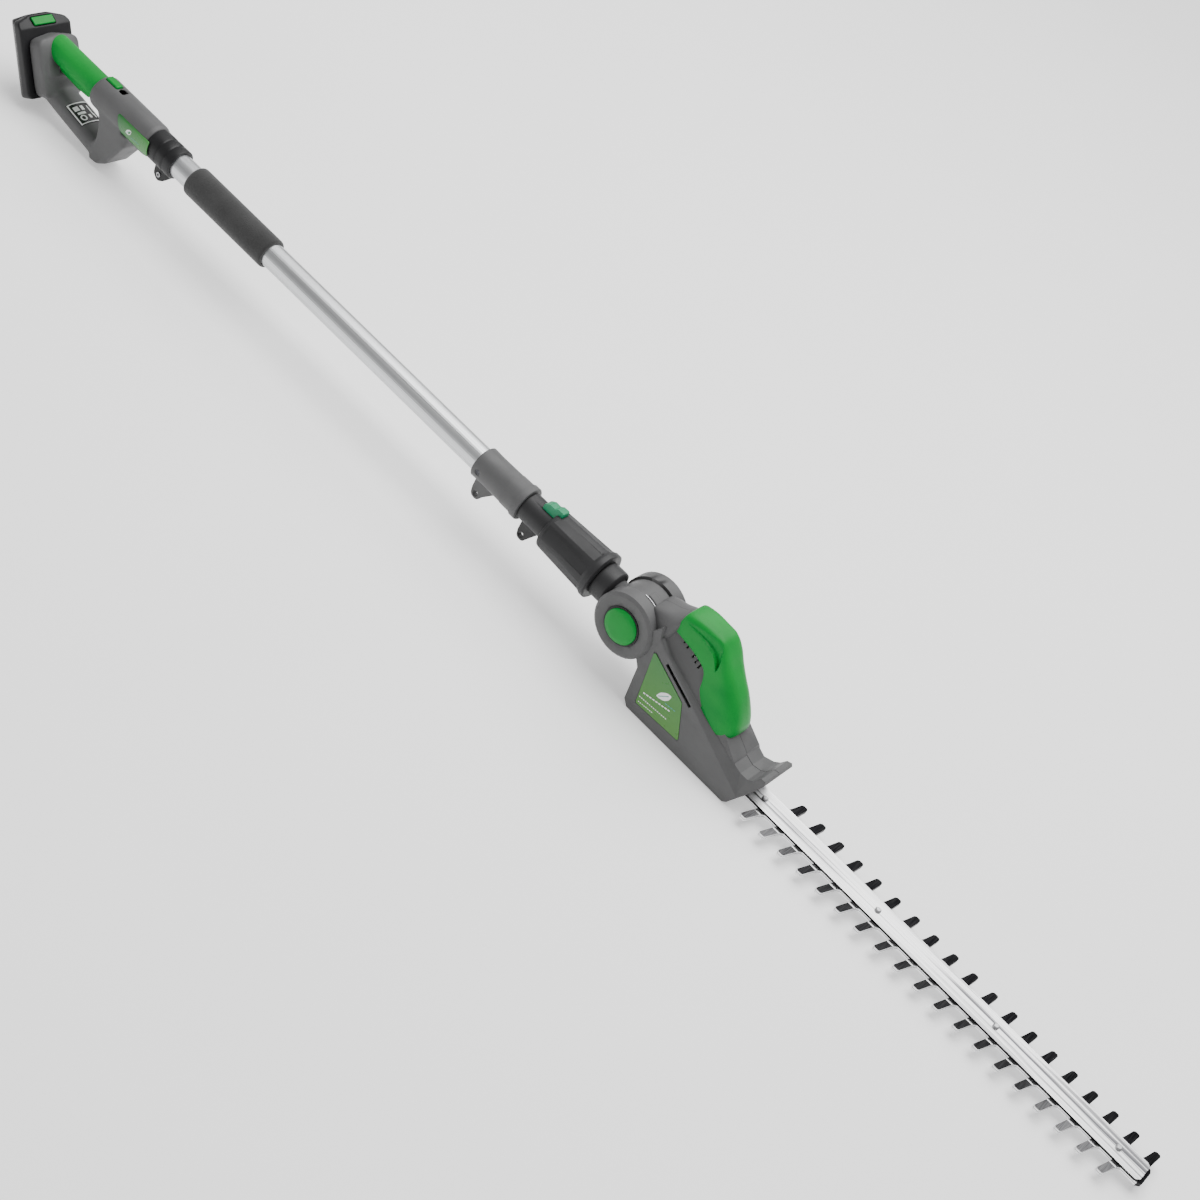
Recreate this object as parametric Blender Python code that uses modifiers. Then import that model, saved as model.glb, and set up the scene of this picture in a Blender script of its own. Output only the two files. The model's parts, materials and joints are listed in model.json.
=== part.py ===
"""Pole hedge trimmer: battery handle, aluminium pole, detachable tilting cutter head and double-sided reciprocating blades."""

import math

import bmesh
import bpy
from mathutils import Matrix, Vector

# All dimensions below are in millimetres, measured from the head's tilt pivot: X to the blade tip, Y left, Z up.
MM = 0.001
GAP = 0.3
PIVOT_X = 151.15
PIVOT_Z = 80.0

TUBE_D = 30.0
TUBE_WALL = 1.6
TUBE_REAR = -806.0
TUBE_FRONT = -216.0
FOAM_D = 37.6
FOAM_REAR = -736.0
FOAM_FRONT = -601.0

RAKE = 31.0
FOOT_X = -993.5
FOOT_Z = 10.0
FOOT_W = 60.0
FOOT_T = 21.0
FOOT_LOW = -66.0
FOOT_HIGH = 5.0
PACK_W = 75.0
PACK_T = 31.0
PACK_LOW = -68.0
PACK_HIGH = 27.0
PACK_STEP = 11.0
SHELL = 2.6

GRIP_D = 31.4
GRIP_CORE_D = 24.6
GRIP_REAR = -1004.0
PAD_T = 2.6
GRIP_FRONT = -908.0
TRIGGER_AXIS = (-917.0, 0, -4.5)
BARREL_D = 42.5
BARREL_REAR = -907.6
BARREL_FRONT = -806.0
COLLAR_D = 38.4
COLLAR_FRONT = -764.0
BOW_W = 40.0
BOW_H = 25.0
BOW_SLOPE = 7.5
BOW_POWER = 2.6

FRONT_COLLAR_D = 38.6
FRONT_COLLAR_REAR = -246.0
FRONT_COLLAR_FRONT = -175.0
PLUG_D = 34.0
PLUG_REAR = -212.0
SLEEVE_REAR = -137.0
SLEEVE_FRONT = -59.0
NECK_D = 43.0
KNUCKLE_R = 35.0
KNUCKLE_W = 31.0
EAR_R = 37.6
EAR_OUT = 34.2
EAR_IN = 16.2
BUTTON_R = 20.4
PIN_R = 5.0

HEAD_W = 60.0
COVER_HALF = 21.0
HEAD_LOW = -80.0
MOTOR_X = 86.0
MOTOR_R = 15.0
TOOTH_MODULE = 1.5
PINION_TEETH = 10
GEAR_TEETH = 30
GEAR_PHASE = 6.0
CRANK = 6.75
CRANK_R = 8.0

PITCH = 27.0
TEETH = 19
FIRST_TOOTH = 251.3
BAR_HALF = 14.9
TOOTH_TIP = 38.6
LEFT_TOOTH_LEAD = 1.9
BLADE_HALF = 13.6
BLADE_T = 2.4
BAR_TOP = -62.0
BAR_T = 2.8
BLADE_TIP = 746.0

GREEN = (0.0, 0.30, 0.045)
GREY = (0.125, 0.125, 0.125)
DARK = (0.032, 0.032, 0.033)
BLACK = (0.012, 0.012, 0.012)
STEEL = (0.62, 0.62, 0.63)
ALU = (0.70, 0.71, 0.72)

for old in list(bpy.data.objects):
    bpy.data.objects.remove(old, do_unlink=True)

scene = bpy.context.scene
model = bpy.data.collections.new("pole_hedge_trimmer")
scene.collection.children.link(model)
cutters = bpy.data.collections.new("cutters")
scene.collection.children.link(cutters)
cutters.hide_render = True


def material(name, colour, roughness, metallic):
    mat = bpy.data.materials.new(name)
    mat.use_nodes = True
    shader = mat.node_tree.nodes["Principled BSDF"]
    shader.inputs["Base Color"].default_value = (*colour, 1)
    shader.inputs["Roughness"].default_value = roughness
    shader.inputs["Metallic"].default_value = metallic
    mat.diffuse_color = (*colour, 1)
    return mat


def node(obj, colour=None, roughness=0.5, metallic=0.0):
    """Makes an object one named piece, or a cutter when it is given no colour."""
    for coll in list(obj.users_collection):
        coll.objects.unlink(obj)
    if colour is None:
        cutters.objects.link(obj)
        obj.hide_render = True
        obj.display_type = "WIRE"
    else:
        model.objects.link(obj)
        obj.data.materials.clear()
        obj.data.materials.append(material(obj.name, colour, roughness, metallic))
    return obj


def smooth_outline(points, radius, steps=4):
    """Rounds the corners of a closed outline; radius is one number or one per corner."""
    out = []
    count = len(points)
    for i, corner in enumerate(points):
        r = radius[i] if isinstance(radius, (list, tuple)) else radius
        p = Vector(corner)
        before = Vector(points[i - 1]) - p
        after = Vector(points[(i + 1) % count]) - p
        half = before.angle(after) / 2
        if r <= 0 or half > 1.54:
            out.append(tuple(p))
            continue
        reach = min(r / math.tan(half), 0.49 * before.length, 0.49 * after.length)
        r = reach * math.tan(half)
        a = p + before.normalized() * reach
        b = p + after.normalized() * reach
        centre = p + (before.normalized() + after.normalized()).normalized() * (r / math.sin(half))
        start = (a - centre).normalized()
        end = (b - centre).normalized()
        for k in range(steps + 1):
            w = k / steps
            out.append(tuple(centre + (start * (1 - w) + end * w).normalized() * r))
    return out


def outline_inset(points, distance):
    """Moves every side of a closed counter-clockwise outline inward."""
    out = []
    count = len(points)
    for i in range(count):
        p0 = Vector(points[i - 1])
        p1 = Vector(points[i])
        p2 = Vector(points[(i + 1) % count])
        d1 = (p1 - p0).normalized()
        d2 = (p2 - p1).normalized()
        n1 = Vector((-d1.y, d1.x))
        n2 = Vector((-d2.y, d2.x))
        mid = (n1 + n2).normalized()
        out.append(tuple(p1 + mid * (distance / max(0.25, mid.dot(n1)))))
    return out


def sheet(name, outline, thickness, holes=()):
    """A flat outline given in its own XY plane, as thick as stated along its own Z, as a mesh."""
    curve = bpy.data.curves.new(name, "CURVE")
    curve.dimensions = "2D"
    curve.fill_mode = "BOTH"
    curve.extrude = thickness * MM / 2
    for loop in (outline, *holes):
        spline = curve.splines.new("POLY")
        spline.points.add(len(loop) - 1)
        for point, (x, y) in zip(spline.points, loop):
            point.co = (x * MM, y * MM, 0, 1)
        spline.use_cyclic_u = True
    obj = bpy.data.objects.new(name, curve)
    scene.collection.objects.link(obj)
    return as_mesh(obj)


def as_mesh(obj):
    bpy.context.view_layer.update()
    graph = bpy.context.evaluated_depsgraph_get()
    mesh = bpy.data.meshes.new_from_object(obj.evaluated_get(graph))
    name = obj.name
    world = obj.matrix_world.copy()
    bpy.data.objects.remove(obj, do_unlink=True)
    made = bpy.data.objects.new(name, mesh)
    mesh.name = name
    scene.collection.objects.link(made)
    made.matrix_world = world
    merge(made)
    return made


def merge(obj):
    bm = bmesh.new()
    bm.from_mesh(obj.data)
    bmesh.ops.remove_doubles(bm, verts=bm.verts, dist=0.00002)
    bmesh.ops.dissolve_degenerate(bm, edges=bm.edges, dist=0.00001)
    bmesh.ops.recalc_face_normals(bm, faces=bm.faces)
    bm.to_mesh(obj.data)
    bm.free()


def side_plate(name, outline, y0, y1, holes=()):
    """An outline in X and Z, extruded across the tool from y0 to y1."""
    obj = sheet(name, outline, abs(y1 - y0), holes)
    obj.matrix_world = Matrix.Translation((0, (y0 + y1) / 2 * MM, 0)) @ Matrix.Rotation(math.radians(90), 4, "X")
    return obj


def top_plate(name, outline, z0, z1, holes=()):
    """An outline in X and Y, extruded upward from z0 to z1."""
    obj = sheet(name, outline, abs(z1 - z0), holes)
    obj.location.z = (z0 + z1) / 2 * MM
    return obj


def end_plate(name, outline, x0, x1, holes=()):
    """An outline in Y and Z, extruded along the tool from x0 to x1."""
    obj = sheet(name, outline, abs(x1 - x0), holes)
    turn = Matrix(((0, 0, 1, 0), (1, 0, 0, 0), (0, 1, 0, 0), (0, 0, 0, 1)))
    obj.matrix_world = Matrix.Translation(((x0 + x1) / 2 * MM, 0, 0)) @ turn
    return obj


TURN_TO = {
    "X": Matrix.Rotation(math.radians(90), 4, "Y"),
    "Y": Matrix.Rotation(math.radians(-90), 4, "X"),
    "Z": Matrix.Identity(4),
}


def turned(name, profile, axis="X", at=(0, 0, 0), steps=28, loop=False):
    """A turned shape. The profile is (radius, distance along the axis), from the far end down its outer side."""
    mesh = bpy.data.meshes.new(name)
    points = [(r * MM, 0, h * MM) for r, h in profile]
    edges = [(i, i + 1) for i in range(len(points) - 1)]
    if loop:
        edges.append((len(points) - 1, 0))
    mesh.from_pydata(points, edges, [])
    obj = bpy.data.objects.new(name, mesh)
    scene.collection.objects.link(obj)
    screw = obj.modifiers.new("turn", "SCREW")
    screw.axis = "Z"
    screw.steps = steps
    screw.render_steps = steps
    screw.use_merge_vertices = True
    screw.merge_threshold = 0.00002
    screw.use_smooth_shade = False
    obj.matrix_world = Matrix.Translation(Vector(at) * MM) @ TURN_TO[axis]
    return as_mesh(obj)


def ring(name, outer, inner, start, end, axis="X", at=(0, 0, 0), steps=28, edge=0.6):
    """A turned ring with slightly broken outer edges."""
    e = min(edge, (outer - inner) / 5)
    if e:
        profile = [(outer / 2 - e, end), (outer / 2, end - e), (outer / 2, start + e), (outer / 2 - e, start), (inner / 2, start), (inner / 2, end)]
    else:
        profile = [(outer / 2, end), (outer / 2, start), (inner / 2, start), (inner / 2, end)]
    return turned(name, profile, axis, at, steps, loop=True)


def rod(name, diameter, start, end, axis="X", at=(0, 0, 0), steps=16, edge=0.4):
    r = diameter / 2
    if edge:
        profile = [(0, end), (r - edge, end), (r, end - edge), (r, start + edge), (r - edge, start), (0, start)]
    else:
        profile = [(0, end), (r, end), (r, start), (0, start)]
    return turned(name, profile, axis, at, steps)


def block(name, size, at, turn=None):
    bpy.ops.mesh.primitive_cube_add(size=1)
    obj = bpy.context.active_object
    obj.name = name
    obj.data.name = name
    obj.data.transform(Matrix.Diagonal((size[0] * MM, size[1] * MM, size[2] * MM, 1)))
    obj.matrix_world = Matrix.Translation(Vector(at) * MM) @ (turn or Matrix.Identity(4))
    return obj


def bevel(obj, width, segments=2, angle=30):
    mod = obj.modifiers.new("rounded edges", "BEVEL")
    mod.width = width * MM
    mod.segments = segments
    mod.limit_method = "ANGLE"
    mod.angle_limit = math.radians(angle)
    mod.use_clamp_overlap = True
    return obj


def boolean(obj, other, operation="DIFFERENCE"):
    mod = obj.modifiers.new(operation.lower(), "BOOLEAN")
    mod.object = other
    mod.operation = operation
    mod.solver = "EXACT"
    if not other.users_collection or other.users_collection[0] is not cutters:
        node(other)
    return obj


def cut(obj, *others):
    for other in others:
        boolean(obj, other)
    return obj


def join(obj, *others):
    for other in others:
        boolean(obj, other, "UNION")
    return obj


def opposite_hand(name, source):
    """A copy of a finished piece, mirrored to the tool's other side."""
    bpy.context.view_layer.update()
    graph = bpy.context.evaluated_depsgraph_get()
    mesh = bpy.data.meshes.new_from_object(source.evaluated_get(graph))
    mesh.transform(Matrix.Scale(-1, 4, (0, 1, 0)) @ source.matrix_world)
    mesh.flip_normals()
    obj = bpy.data.objects.new(name, mesh)
    mesh.name = name
    scene.collection.objects.link(obj)
    return obj


def half_space(name, point, normal, size=400.0):
    """A large block lying on the side of a plane that its normal points to."""
    n = Vector(normal).normalized()
    turn = n.to_track_quat("Z", "Y").to_matrix().to_4x4()
    return block(name, (size, size, size), tuple(Vector(point) + n * (size / 2)), turn)


def plane_through(a, b, c, outward):
    """Point and unit normal of the plane through three points, facing the way stated."""
    a, b, c = Vector(a), Vector(b), Vector(c)
    n = (b - a).cross(c - a).normalized()
    if n.dot(Vector(outward)) < 0:
        n = -n
    return a, n


def local_to(frame, obj):
    obj.matrix_world = frame @ obj.matrix_world
    return obj


def circle(radius, count=32, cx=0.0, cy=0.0, start=0.0, end=360.0):
    full = abs(end - start - 360) < 0.01
    steps = count if full else count - 1
    return [
        (cx + radius * math.cos(math.radians(start + (end - start) * i / steps)), cy + radius * math.sin(math.radians(start + (end - start) * i / steps)))
        for i in range(count)
    ]


def rounded_rect(w, h, r, cx=0.0, cy=0.0, steps=4):
    corners = [(cx - w / 2, cy - h / 2), (cx + w / 2, cy - h / 2), (cx + w / 2, cy + h / 2), (cx - w / 2, cy + h / 2)]
    return smooth_outline(corners, r, steps)


def spring(name, radius, wire, start, end, turns, axis="Z", at=(0, 0, 0)):
    """A compression spring as a swept coil with closed ends."""
    curve = bpy.data.curves.new(name, "CURVE")
    curve.dimensions = "3D"
    curve.bevel_depth = wire / 2 * MM
    curve.bevel_resolution = 0
    curve.use_fill_caps = True
    count = int(turns * 9)
    spline = curve.splines.new("POLY")
    spline.points.add(count)
    low = start + wire / 2
    high = end - wire / 2
    for i, point in enumerate(spline.points):
        w = i / count
        angle = 2 * math.pi * turns * w
        point.co = (radius * math.cos(angle) * MM, radius * math.sin(angle) * MM, (low + (high - low) * w) * MM, 1)
    obj = bpy.data.objects.new(name, curve)
    scene.collection.objects.link(obj)
    obj.matrix_world = Matrix.Translation(Vector(at) * MM) @ TURN_TO[axis]
    return as_mesh(obj)


def cable(name, points, diameter):
    curve = bpy.data.curves.new(name, "CURVE")
    curve.dimensions = "3D"
    curve.bevel_depth = diameter / 2 * MM
    curve.bevel_resolution = 1
    curve.use_fill_caps = True
    spline = curve.splines.new("POLY")
    spline.points.add(len(points) - 1)
    for point, co in zip(spline.points, points):
        point.co = (*[c * MM for c in co], 1)
    obj = bpy.data.objects.new(name, curve)
    scene.collection.objects.link(obj)
    return as_mesh(obj)


def gear_outline(teeth, module, phase=0.0):
    """Straight-sided teeth on a root circle."""
    out = []
    pitch_r = teeth * module / 2
    for i in range(teeth):
        mid = phase + 360 * i / teeth
        step = 360 / teeth
        for offset, r in ((-0.33, pitch_r - 1.15 * module), (-0.12, pitch_r + 0.75 * module), (0.12, pitch_r + 0.75 * module), (0.33, pitch_r - 1.15 * module)):
            a = math.radians(mid + offset * step)
            out.append((r * math.cos(a), r * math.sin(a)))
    return out


def moved(points, dx, dy):
    return [(x + dx, y + dy) for x, y in points]


# ---------------------------------------------------------------- handle frame
FOOT = Matrix.Translation((FOOT_X * MM, 0, FOOT_Z * MM)) @ Matrix.Rotation(math.radians(-RAKE), 4, "Y")
BOW_TURN = Matrix.Rotation(math.radians(BOW_SLOPE), 4, "Y")
BOW = Matrix.Translation((-924 * MM, 0, -56.8 * MM)) @ BOW_TURN


def foot_solid(name, inset):
    """The raked plate behind the grip, which carries the battery."""
    w = FOOT_W / 2 - inset
    low = FOOT_LOW + inset
    high = FOOT_HIGH - inset
    outline = smooth_outline([(-w, low), (w, low), (w, high - 4), (0, high + 1), (-w, high - 4)], [6, 6, 9 - inset, 0, 9 - inset], 1 if inset else 3)
    obj = end_plate(name, outline, -FOOT_T + inset, -inset)
    bevel(obj, 3.0, 1 if inset else 2, 50)
    return local_to(FOOT, obj)


def bow_section(inset, count, low=-180.0, high=180.0):
    """The bow's cross-section in Y and Z, a squared ellipse."""
    out = []
    for i in range(count):
        a = math.radians(low + (high - low) * i / (count if high - low > 359 else count - 1))
        c, d = math.cos(a), math.sin(a)
        y = (BOW_W / 2 - inset) * math.copysign(abs(c) ** (2 / BOW_POWER), c)
        z = (BOW_H / 2 - inset) * math.copysign(abs(d) ** (2 / BOW_POWER), d)
        out.append((y, z))
    return out


def sticker_band(name, top, bottom, half_angle, x0, x1):
    """A strip of the bow's upper surface between two depths."""
    over = bow_section(-top, 11, 90 - half_angle, 90 + half_angle)
    under = bow_section(bottom, 11, 90 - half_angle, 90 + half_angle)
    return local_to(BOW, end_plate(name, over + under[::-1], x0, x1))


LEG = [(-897, 2), (-888, -17), (-882.5, -30), (-881, -44), (-886, -60), (-884, -75.6), (-868, -74), (-857, -66), (-846, -46), (-836, -26), (-833, 2)]
LEG_ROOM = [(-892, -1), (-884, -18), (-879, -32), (-878, -46), (-881.5, -72.6), (-869, -71.2), (-859.5, -64), (-848.6, -44.5), (-839, -25), (-836.5, -1)]


def handle_solid(name, inset):
    """The handle's moulded body, or its hollow when inset by the wall."""
    body = foot_solid(name, inset)
    bow = end_plate(name + "_bow", bow_section(inset, 14 if inset else 22), -49 + inset, 56 - inset)
    local_to(BOW, bow)
    leg = side_plate(name + "_leg", LEG_ROOM if inset else LEG, -19.5 + inset, 19.5 - inset)
    bevel(leg, 4.5 if inset else 7.5, 1 if inset else 3, 50)
    r = BARREL_D / 2 - inset
    rear = BARREL_REAR + inset
    barrel = turned(name + "_barrel", [(0, BARREL_FRONT - inset), (r - 1.6, BARREL_FRONT - inset), (r, BARREL_FRONT - 5), (r, rear + 5), (r - 1.4, rear + 1.2), (r - 3.5, rear), (0, rear)], steps=24 if inset else 40)
    core = rod(name + "_core", GRIP_CORE_D - 2 * inset, -1000 if inset else -998.5, -880 + inset, steps=26, edge=0)
    return join(body, bow, leg, barrel, core)


outer_cutters = []


def half_shell(name):
    """The left half of the handle's moulding, which its right half mirrors."""
    shell = handle_solid(name, 0)
    cut(shell, handle_solid(name + "_hollow", SHELL))
    shell.modifiers[-1].use_self = True
    pad = smooth_outline([(-22, -44), (22, -44), (22, -4), (9, 1.5), (-9, 1.5), (-22, -4)], [8, 8, 8, 8, 8, 8], 2)
    boss = local_to(FOOT, end_plate(name + "_boss", pad, -1.2, PAD_T))
    mods = shell.modifiers
    boolean(shell, boss, "UNION")
    mods.move(len(mods) - 1, mods.find("difference"))
    cut(shell, block(name + "_far_side", (280, 80, 170), (-915, GAP / 2 - 40, -30)))
    shell.modifiers[-1].use_self = True
    cut(shell, rod(name + "_tube_seat", TUBE_D + 2 * GAP, -850, -780, steps=28, edge=0))
    cut(shell, block(name + "_trigger_slot", (65.5, 12.8, 22.5), (-943.9, 0, -10.2)))
    cut(shell, block(name + "_lock_slot", (20.8, 10.8, 20), (-893, 0, 20)), block(name + "_lock_recess", (9, 10.2, 4.4), (-876.2, 0, 20.6)), rod(name + "_pin_hole", 4.6, -10.6, 10.6, "Y", TRIGGER_AXIS, edge=0))
    cut(shell, local_to(FOOT, block(name + "_terminal_slot", (12, 34.6, 26.6), (-18, 0, -40))))
    cut(shell, sticker_band(name + "_sticker_seat", 1.5, 0.65, 50, -18.4, 15.4))
    return shell


def label_solid(name, grow, thick):
    """The parallelogram label wrapped round the right side of the barrel."""
    out = BARREL_D / 2 + 0.15 + (3 if grow else 0)
    band = ring(name + "_band", 2 * out, 2 * (BARREL_D / 2 + 0.15 - thick), -870, -780, edge=0, steps=56)
    g = grow
    shape = [(-857.5 - g, 9 + g), (-846 - g, -12 - g), (-798 + g, -10 - g), (-801 + g, 9 + g)]
    prism = side_plate(name, smooth_outline(shape, 2.0, 3), -32, -8)
    return boolean(prism, band, "INTERSECT")


handle_left = node(half_shell("handle_shell_left"), GREY, 0.6)
handle_right = opposite_hand("handle_shell_right", handle_left)
cut(handle_right, label_solid("handle_label_seat", 0.35, 1.15))
node(handle_right, GREY, 0.6)
node(label_solid("handle_side_label", 0.0, 0.75), (0.10, 0.36, 0.10), 0.35)
node(sticker_band("rating_sticker", 0.15, 0.35, 48.5, -18, 15), (0.05, 0.05, 0.05), 0.4)

# ---------------------------------------------------------------- grip, trigger, lock-off
grip = ring("soft_grip", GRIP_D, GRIP_CORE_D + 0.7, GRIP_REAR, GRIP_FRONT, steps=32, edge=1.2)
cut(grip, half_space("grip_rear_end", tuple(FOOT @ Vector(((PAD_T + GAP) * MM, 0, 0)) / MM), tuple(FOOT.to_3x3() @ Vector((-1, 0, 0)))))
cut(grip, block("grip_trigger_slot", (65.5, 13.2, 20), (-943.9, 0, -16)))
node(grip, GREEN, 0.7)

trigger_shape = [(-975, -12.4), (-975, -17.0), (-969, -19.0), (-940, -20.4), (-920, -19), (-913.4, -12), (-913.4, -4), (-917, -1.6), (-921, -4), (-926, -9.2), (-944, -9.6), (-973, -10.4)]
trigger = side_plate("trigger", smooth_outline(trigger_shape, 1.6, 2), -5.9, 5.9)
cut(trigger, rod("trigger_bore", 4.6, -10, 10, "Y", TRIGGER_AXIS, edge=0))
node(trigger, GREEN, 0.55)
node(rod("trigger_pin", 4.0, -10, 10, "Y", TRIGGER_AXIS, 12, 0), STEEL, 0.3, 1)
node(spring("trigger_spring", 2.2, 0.7, -9.6, 9.0, 4, "Z", (-964, 0, 0)), STEEL, 0.35, 1)
switch = join(block("trigger_switch", (20, 9, 8), (-944, 0, 1.0)), block("switch_plunger", (3, 3, 4.0), (-940, 0, -4.6)))
node(switch, BLACK, 0.5)
lock = block("lock_off_button", (20, 10, 7.4), (-893, 0, 19.0))
bevel(lock, 1.6, 3)
join(lock, rod("lock_off_stem", 5, 8.6, 17, "Z", (-893, 0, 0), 10, 0))
node(lock, GREEN, 0.5)
node(spring("lock_off_spring", 3.8, 0.7, 6.0, 15.0, 3, "Z", (-893, 0, 0)), STEEL, 0.35, 1)
board = bevel(block("control_board", (30, 24, 10), (-924, 0, -57.8), BOW_TURN), 1.0, 1)
node(board, (0.02, 0.16, 0.07), 0.5)

# ---------------------------------------------------------------- battery
terminal = block("battery_terminals", (9, 34, 26), (-19.9, 0, -40))
cut(terminal, *[local_to(Matrix.Identity(4), block(f"terminal_slit_{i}", (4, 1.4, 20), (-24.4, y, -42))) for i, y in enumerate((-12, -4, 4, 12))])
local_to(FOOT, terminal)
for obj in list(cutters.objects):
    if obj.name.startswith("terminal_slit"):
        local_to(FOOT, obj)
node(terminal, BLACK, 0.5)


def pack_outline(inset):
    w = PACK_W / 2 - inset
    front = -FOOT_T - 0.4 - inset
    step = front - PACK_STEP + inset
    rear = -FOOT_T - 0.4 - PACK_T + inset
    return [(front, -w), (front, w), (step, w), (rear, w - 12.5), (rear, -w + 12.5), (step, -w)]


def pack_solid(name, inset, front, rear):
    """The pack's body between two depths: its plan is a chamfered slab, its top is arched and slopes back."""
    flat = [(y, x) for x, y in pack_outline(inset)]
    plan = sheet(name, smooth_outline([(x, y) for y, x in flat], 2.0, 2), PACK_HIGH - PACK_LOW + 14)
    plan.location.z = (PACK_LOW + PACK_HIGH) / 2 * MM
    w = PACK_W / 2 - inset
    low = PACK_LOW + inset
    high = PACK_HIGH - inset
    arch = smooth_outline([(-w, low), (w, low), (w, high - 7), (12, high), (-12, high), (-w, high - 7)], [6, 6, 9, 12, 12, 9], 3)
    boolean(plan, end_plate(name + "_arch", arch, rear, front), "INTERSECT")
    nose = half_space(name + "_nose", (-FOOT_T - inset * 0.8, 0, 13), (0.79, 0, 0.61), 300)
    cut(plan, nose)
    back = half_space(name + "_back", (-FOOT_T - 16 + 0.2 * inset, 0, PACK_HIGH - inset), (-0.45, 0, 0.89), 300)
    cut(plan, back)
    return plan


PACK_SEAM = -FOOT_T - 0.4 - 15.5
front_shell = pack_solid("battery_front_shell", 0, 0, PACK_SEAM + 0.15)
cut(front_shell, pack_solid("battery_front_hollow", 2.4, 0, -60))
cut(front_shell, block("battery_terminal_channel", (9, 36, 80), (-22.9, 0, -64.5)))
button_frame = Matrix.Translation((-25.6 * MM, 0, 19.6 * MM)) @ Matrix.Rotation(math.radians(52.3), 4, "Y")
cut(front_shell, local_to(button_frame, block("battery_button_hole", (11.2, 31.2, 14), (0, 0, 0))))
rear_shell = pack_solid("battery_rear_shell", 0, PACK_SEAM - 0.15, -90)
cut(rear_shell, pack_solid("battery_rear_hollow", 2.4, 0, -90))
cells = block("battery_cells", (5, 54, 62), (-35.5, 0, -27))
join(cells, *[rod(f"cell_{i}", 17.4, -60, 6, "Z", (-37.0, y, 0), 16, 0) for i, y in enumerate((-18.2, 0, 18.2))])
battery_button = block("battery_button", (10.6, 30.6, 3.4), (0, 0, -0.7))
bevel(battery_button, 1.0, 2)
local_to(button_frame, battery_button)
for obj, colour, rough in ((front_shell, BLACK, 0.45), (rear_shell, BLACK, 0.45), (cells, (0.05, 0.14, 0.4), 0.4), (battery_button, GREEN, 0.5)):
    local_to(FOOT, obj)
    node(obj, colour, rough)
for obj in list(cutters.objects):
    if obj.name.startswith(("battery_", "cell_")):
        local_to(FOOT, obj)
node(local_to(FOOT @ button_frame, spring("battery_button_spring", 2.6, 0.6, -8.5, -2.7, 3)), STEEL, 0.35, 1)

# ---------------------------------------------------------------- pole
collar_profile = [(COLLAR_D / 2 - 1, COLLAR_FRONT), (COLLAR_D / 2, COLLAR_FRONT - 1)]
for groove in (-776.0, -788.0):
    collar_profile += [(COLLAR_D / 2, groove + 2), (COLLAR_D / 2 - 1.1, groove + 1), (COLLAR_D / 2 - 1.1, groove - 1), (COLLAR_D / 2, groove - 2)]
collar_profile += [(COLLAR_D / 2, BARREL_FRONT + GAP + 0.6), (COLLAR_D / 2 - 0.6, BARREL_FRONT + GAP), (TUBE_D / 2 + GAP, BARREL_FRONT + GAP), (TUBE_D / 2 + GAP, COLLAR_FRONT)]
rear_collar = turned("rear_collar", collar_profile, steps=30, loop=True)
lug_shape = smooth_outline([(-797, -14), (-796, -33), (-788, -39.5), (-779, -34), (-768, -20.5), (-766, -14)], [0, 6, 6, 5, 2, 0], 3)
lug = side_plate("collar_lug", lug_shape, -3, 3, [circle(3.5, 14, -787.6, -30.6)])
cut(lug, rod("lug_bore", TUBE_D + 2 * GAP, -810, -750, edge=0, steps=28))
node(join(rear_collar, lug), DARK, 0.5)
node(ring("strap_eyelet", 6.2, 3.6, -4.0, 4.0, "Y", (-787.6, 0, -30.6), 14, 0), STEEL, 0.35, 1)
tube = ring("pole_tube", TUBE_D, TUBE_D - 2 * TUBE_WALL, -826, TUBE_FRONT, steps=40, edge=0)
node(tube, ALU, 0.28, 1)
node(ring("foam_grip", FOAM_D, TUBE_D + 2 * GAP, FOAM_REAR, FOAM_FRONT, steps=32, edge=2.2), BLACK, 0.95)
node(cable("pole_cable", [(-905, 0, -2), (-860, 0, -2), (-700, 0, -4), (-480, 0, 3), (-300, 0, -3), (-222, 0, 0)], 7.0), BLACK, 0.6)

# ---------------------------------------------------------------- front collar
r = FRONT_COLLAR_D / 2
collar_shape = [(r + 1.2, -175), (r + 2.2, -176.2), (r + 2.2, -183), (r + 0.8, -185), (r + 0.6, -199), (r, -201), (r - 0.4, -230), (r, -245.2), (r - 0.8, -246), (TUBE_D / 2 + GAP, -246), (TUBE_D / 2 + GAP, -175)]
front_collar = turned("front_collar", collar_shape, steps=30, loop=True)
front_lug = side_plate("front_lug", smooth_outline([(-243, -12), (-243, -34), (-241, -44), (-231, -45), (-226, -36), (-212, -19), (-210, -12)], [0, 6, 6, 6, 8, 2, 0], 3), -3.4, 3.4, [circle(3.8, 12, -235.6, -38.6)])
cut(front_lug, rod("front_lug_bore", TUBE_D + 2 * GAP, -260, -160, edge=0, steps=28))
join(front_collar, front_lug)
SCREW_TURN = Matrix.Translation((-237 * MM, 0, 0)) @ Matrix.Rotation(math.radians(93), 4, "X")
cut(front_collar, local_to(SCREW_TURN, rod("screw_seat", 7.0, 17.4, 30, "Z", steps=12, edge=0)), local_to(SCREW_TURN, rod("screw_hole", 3.8, 10, 30, "Z", steps=10, edge=0)))
node(front_collar, GREY, 0.6)
screw = turned("collar_screw", [(0, 18.6), (2.6, 18.6), (3.0, 18.2), (3.0, 17.0 + 0.7), (1.6, 17.7), (1.6, 15.5), (0, 15.5)], "Z", steps=12)
cut(screw, block("screw_cross_a", (4.2, 0.9, 2), (0, 0, 18.9)), block("screw_cross_b", (0.9, 4.2, 2), (0, 0, 18.9)))
local_to(SCREW_TURN, screw)
for part in ("screw_cross_a", "screw_cross_b"):
    local_to(SCREW_TURN, bpy.data.objects[part])
node(screw, STEEL, 0.35, 1)

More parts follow.
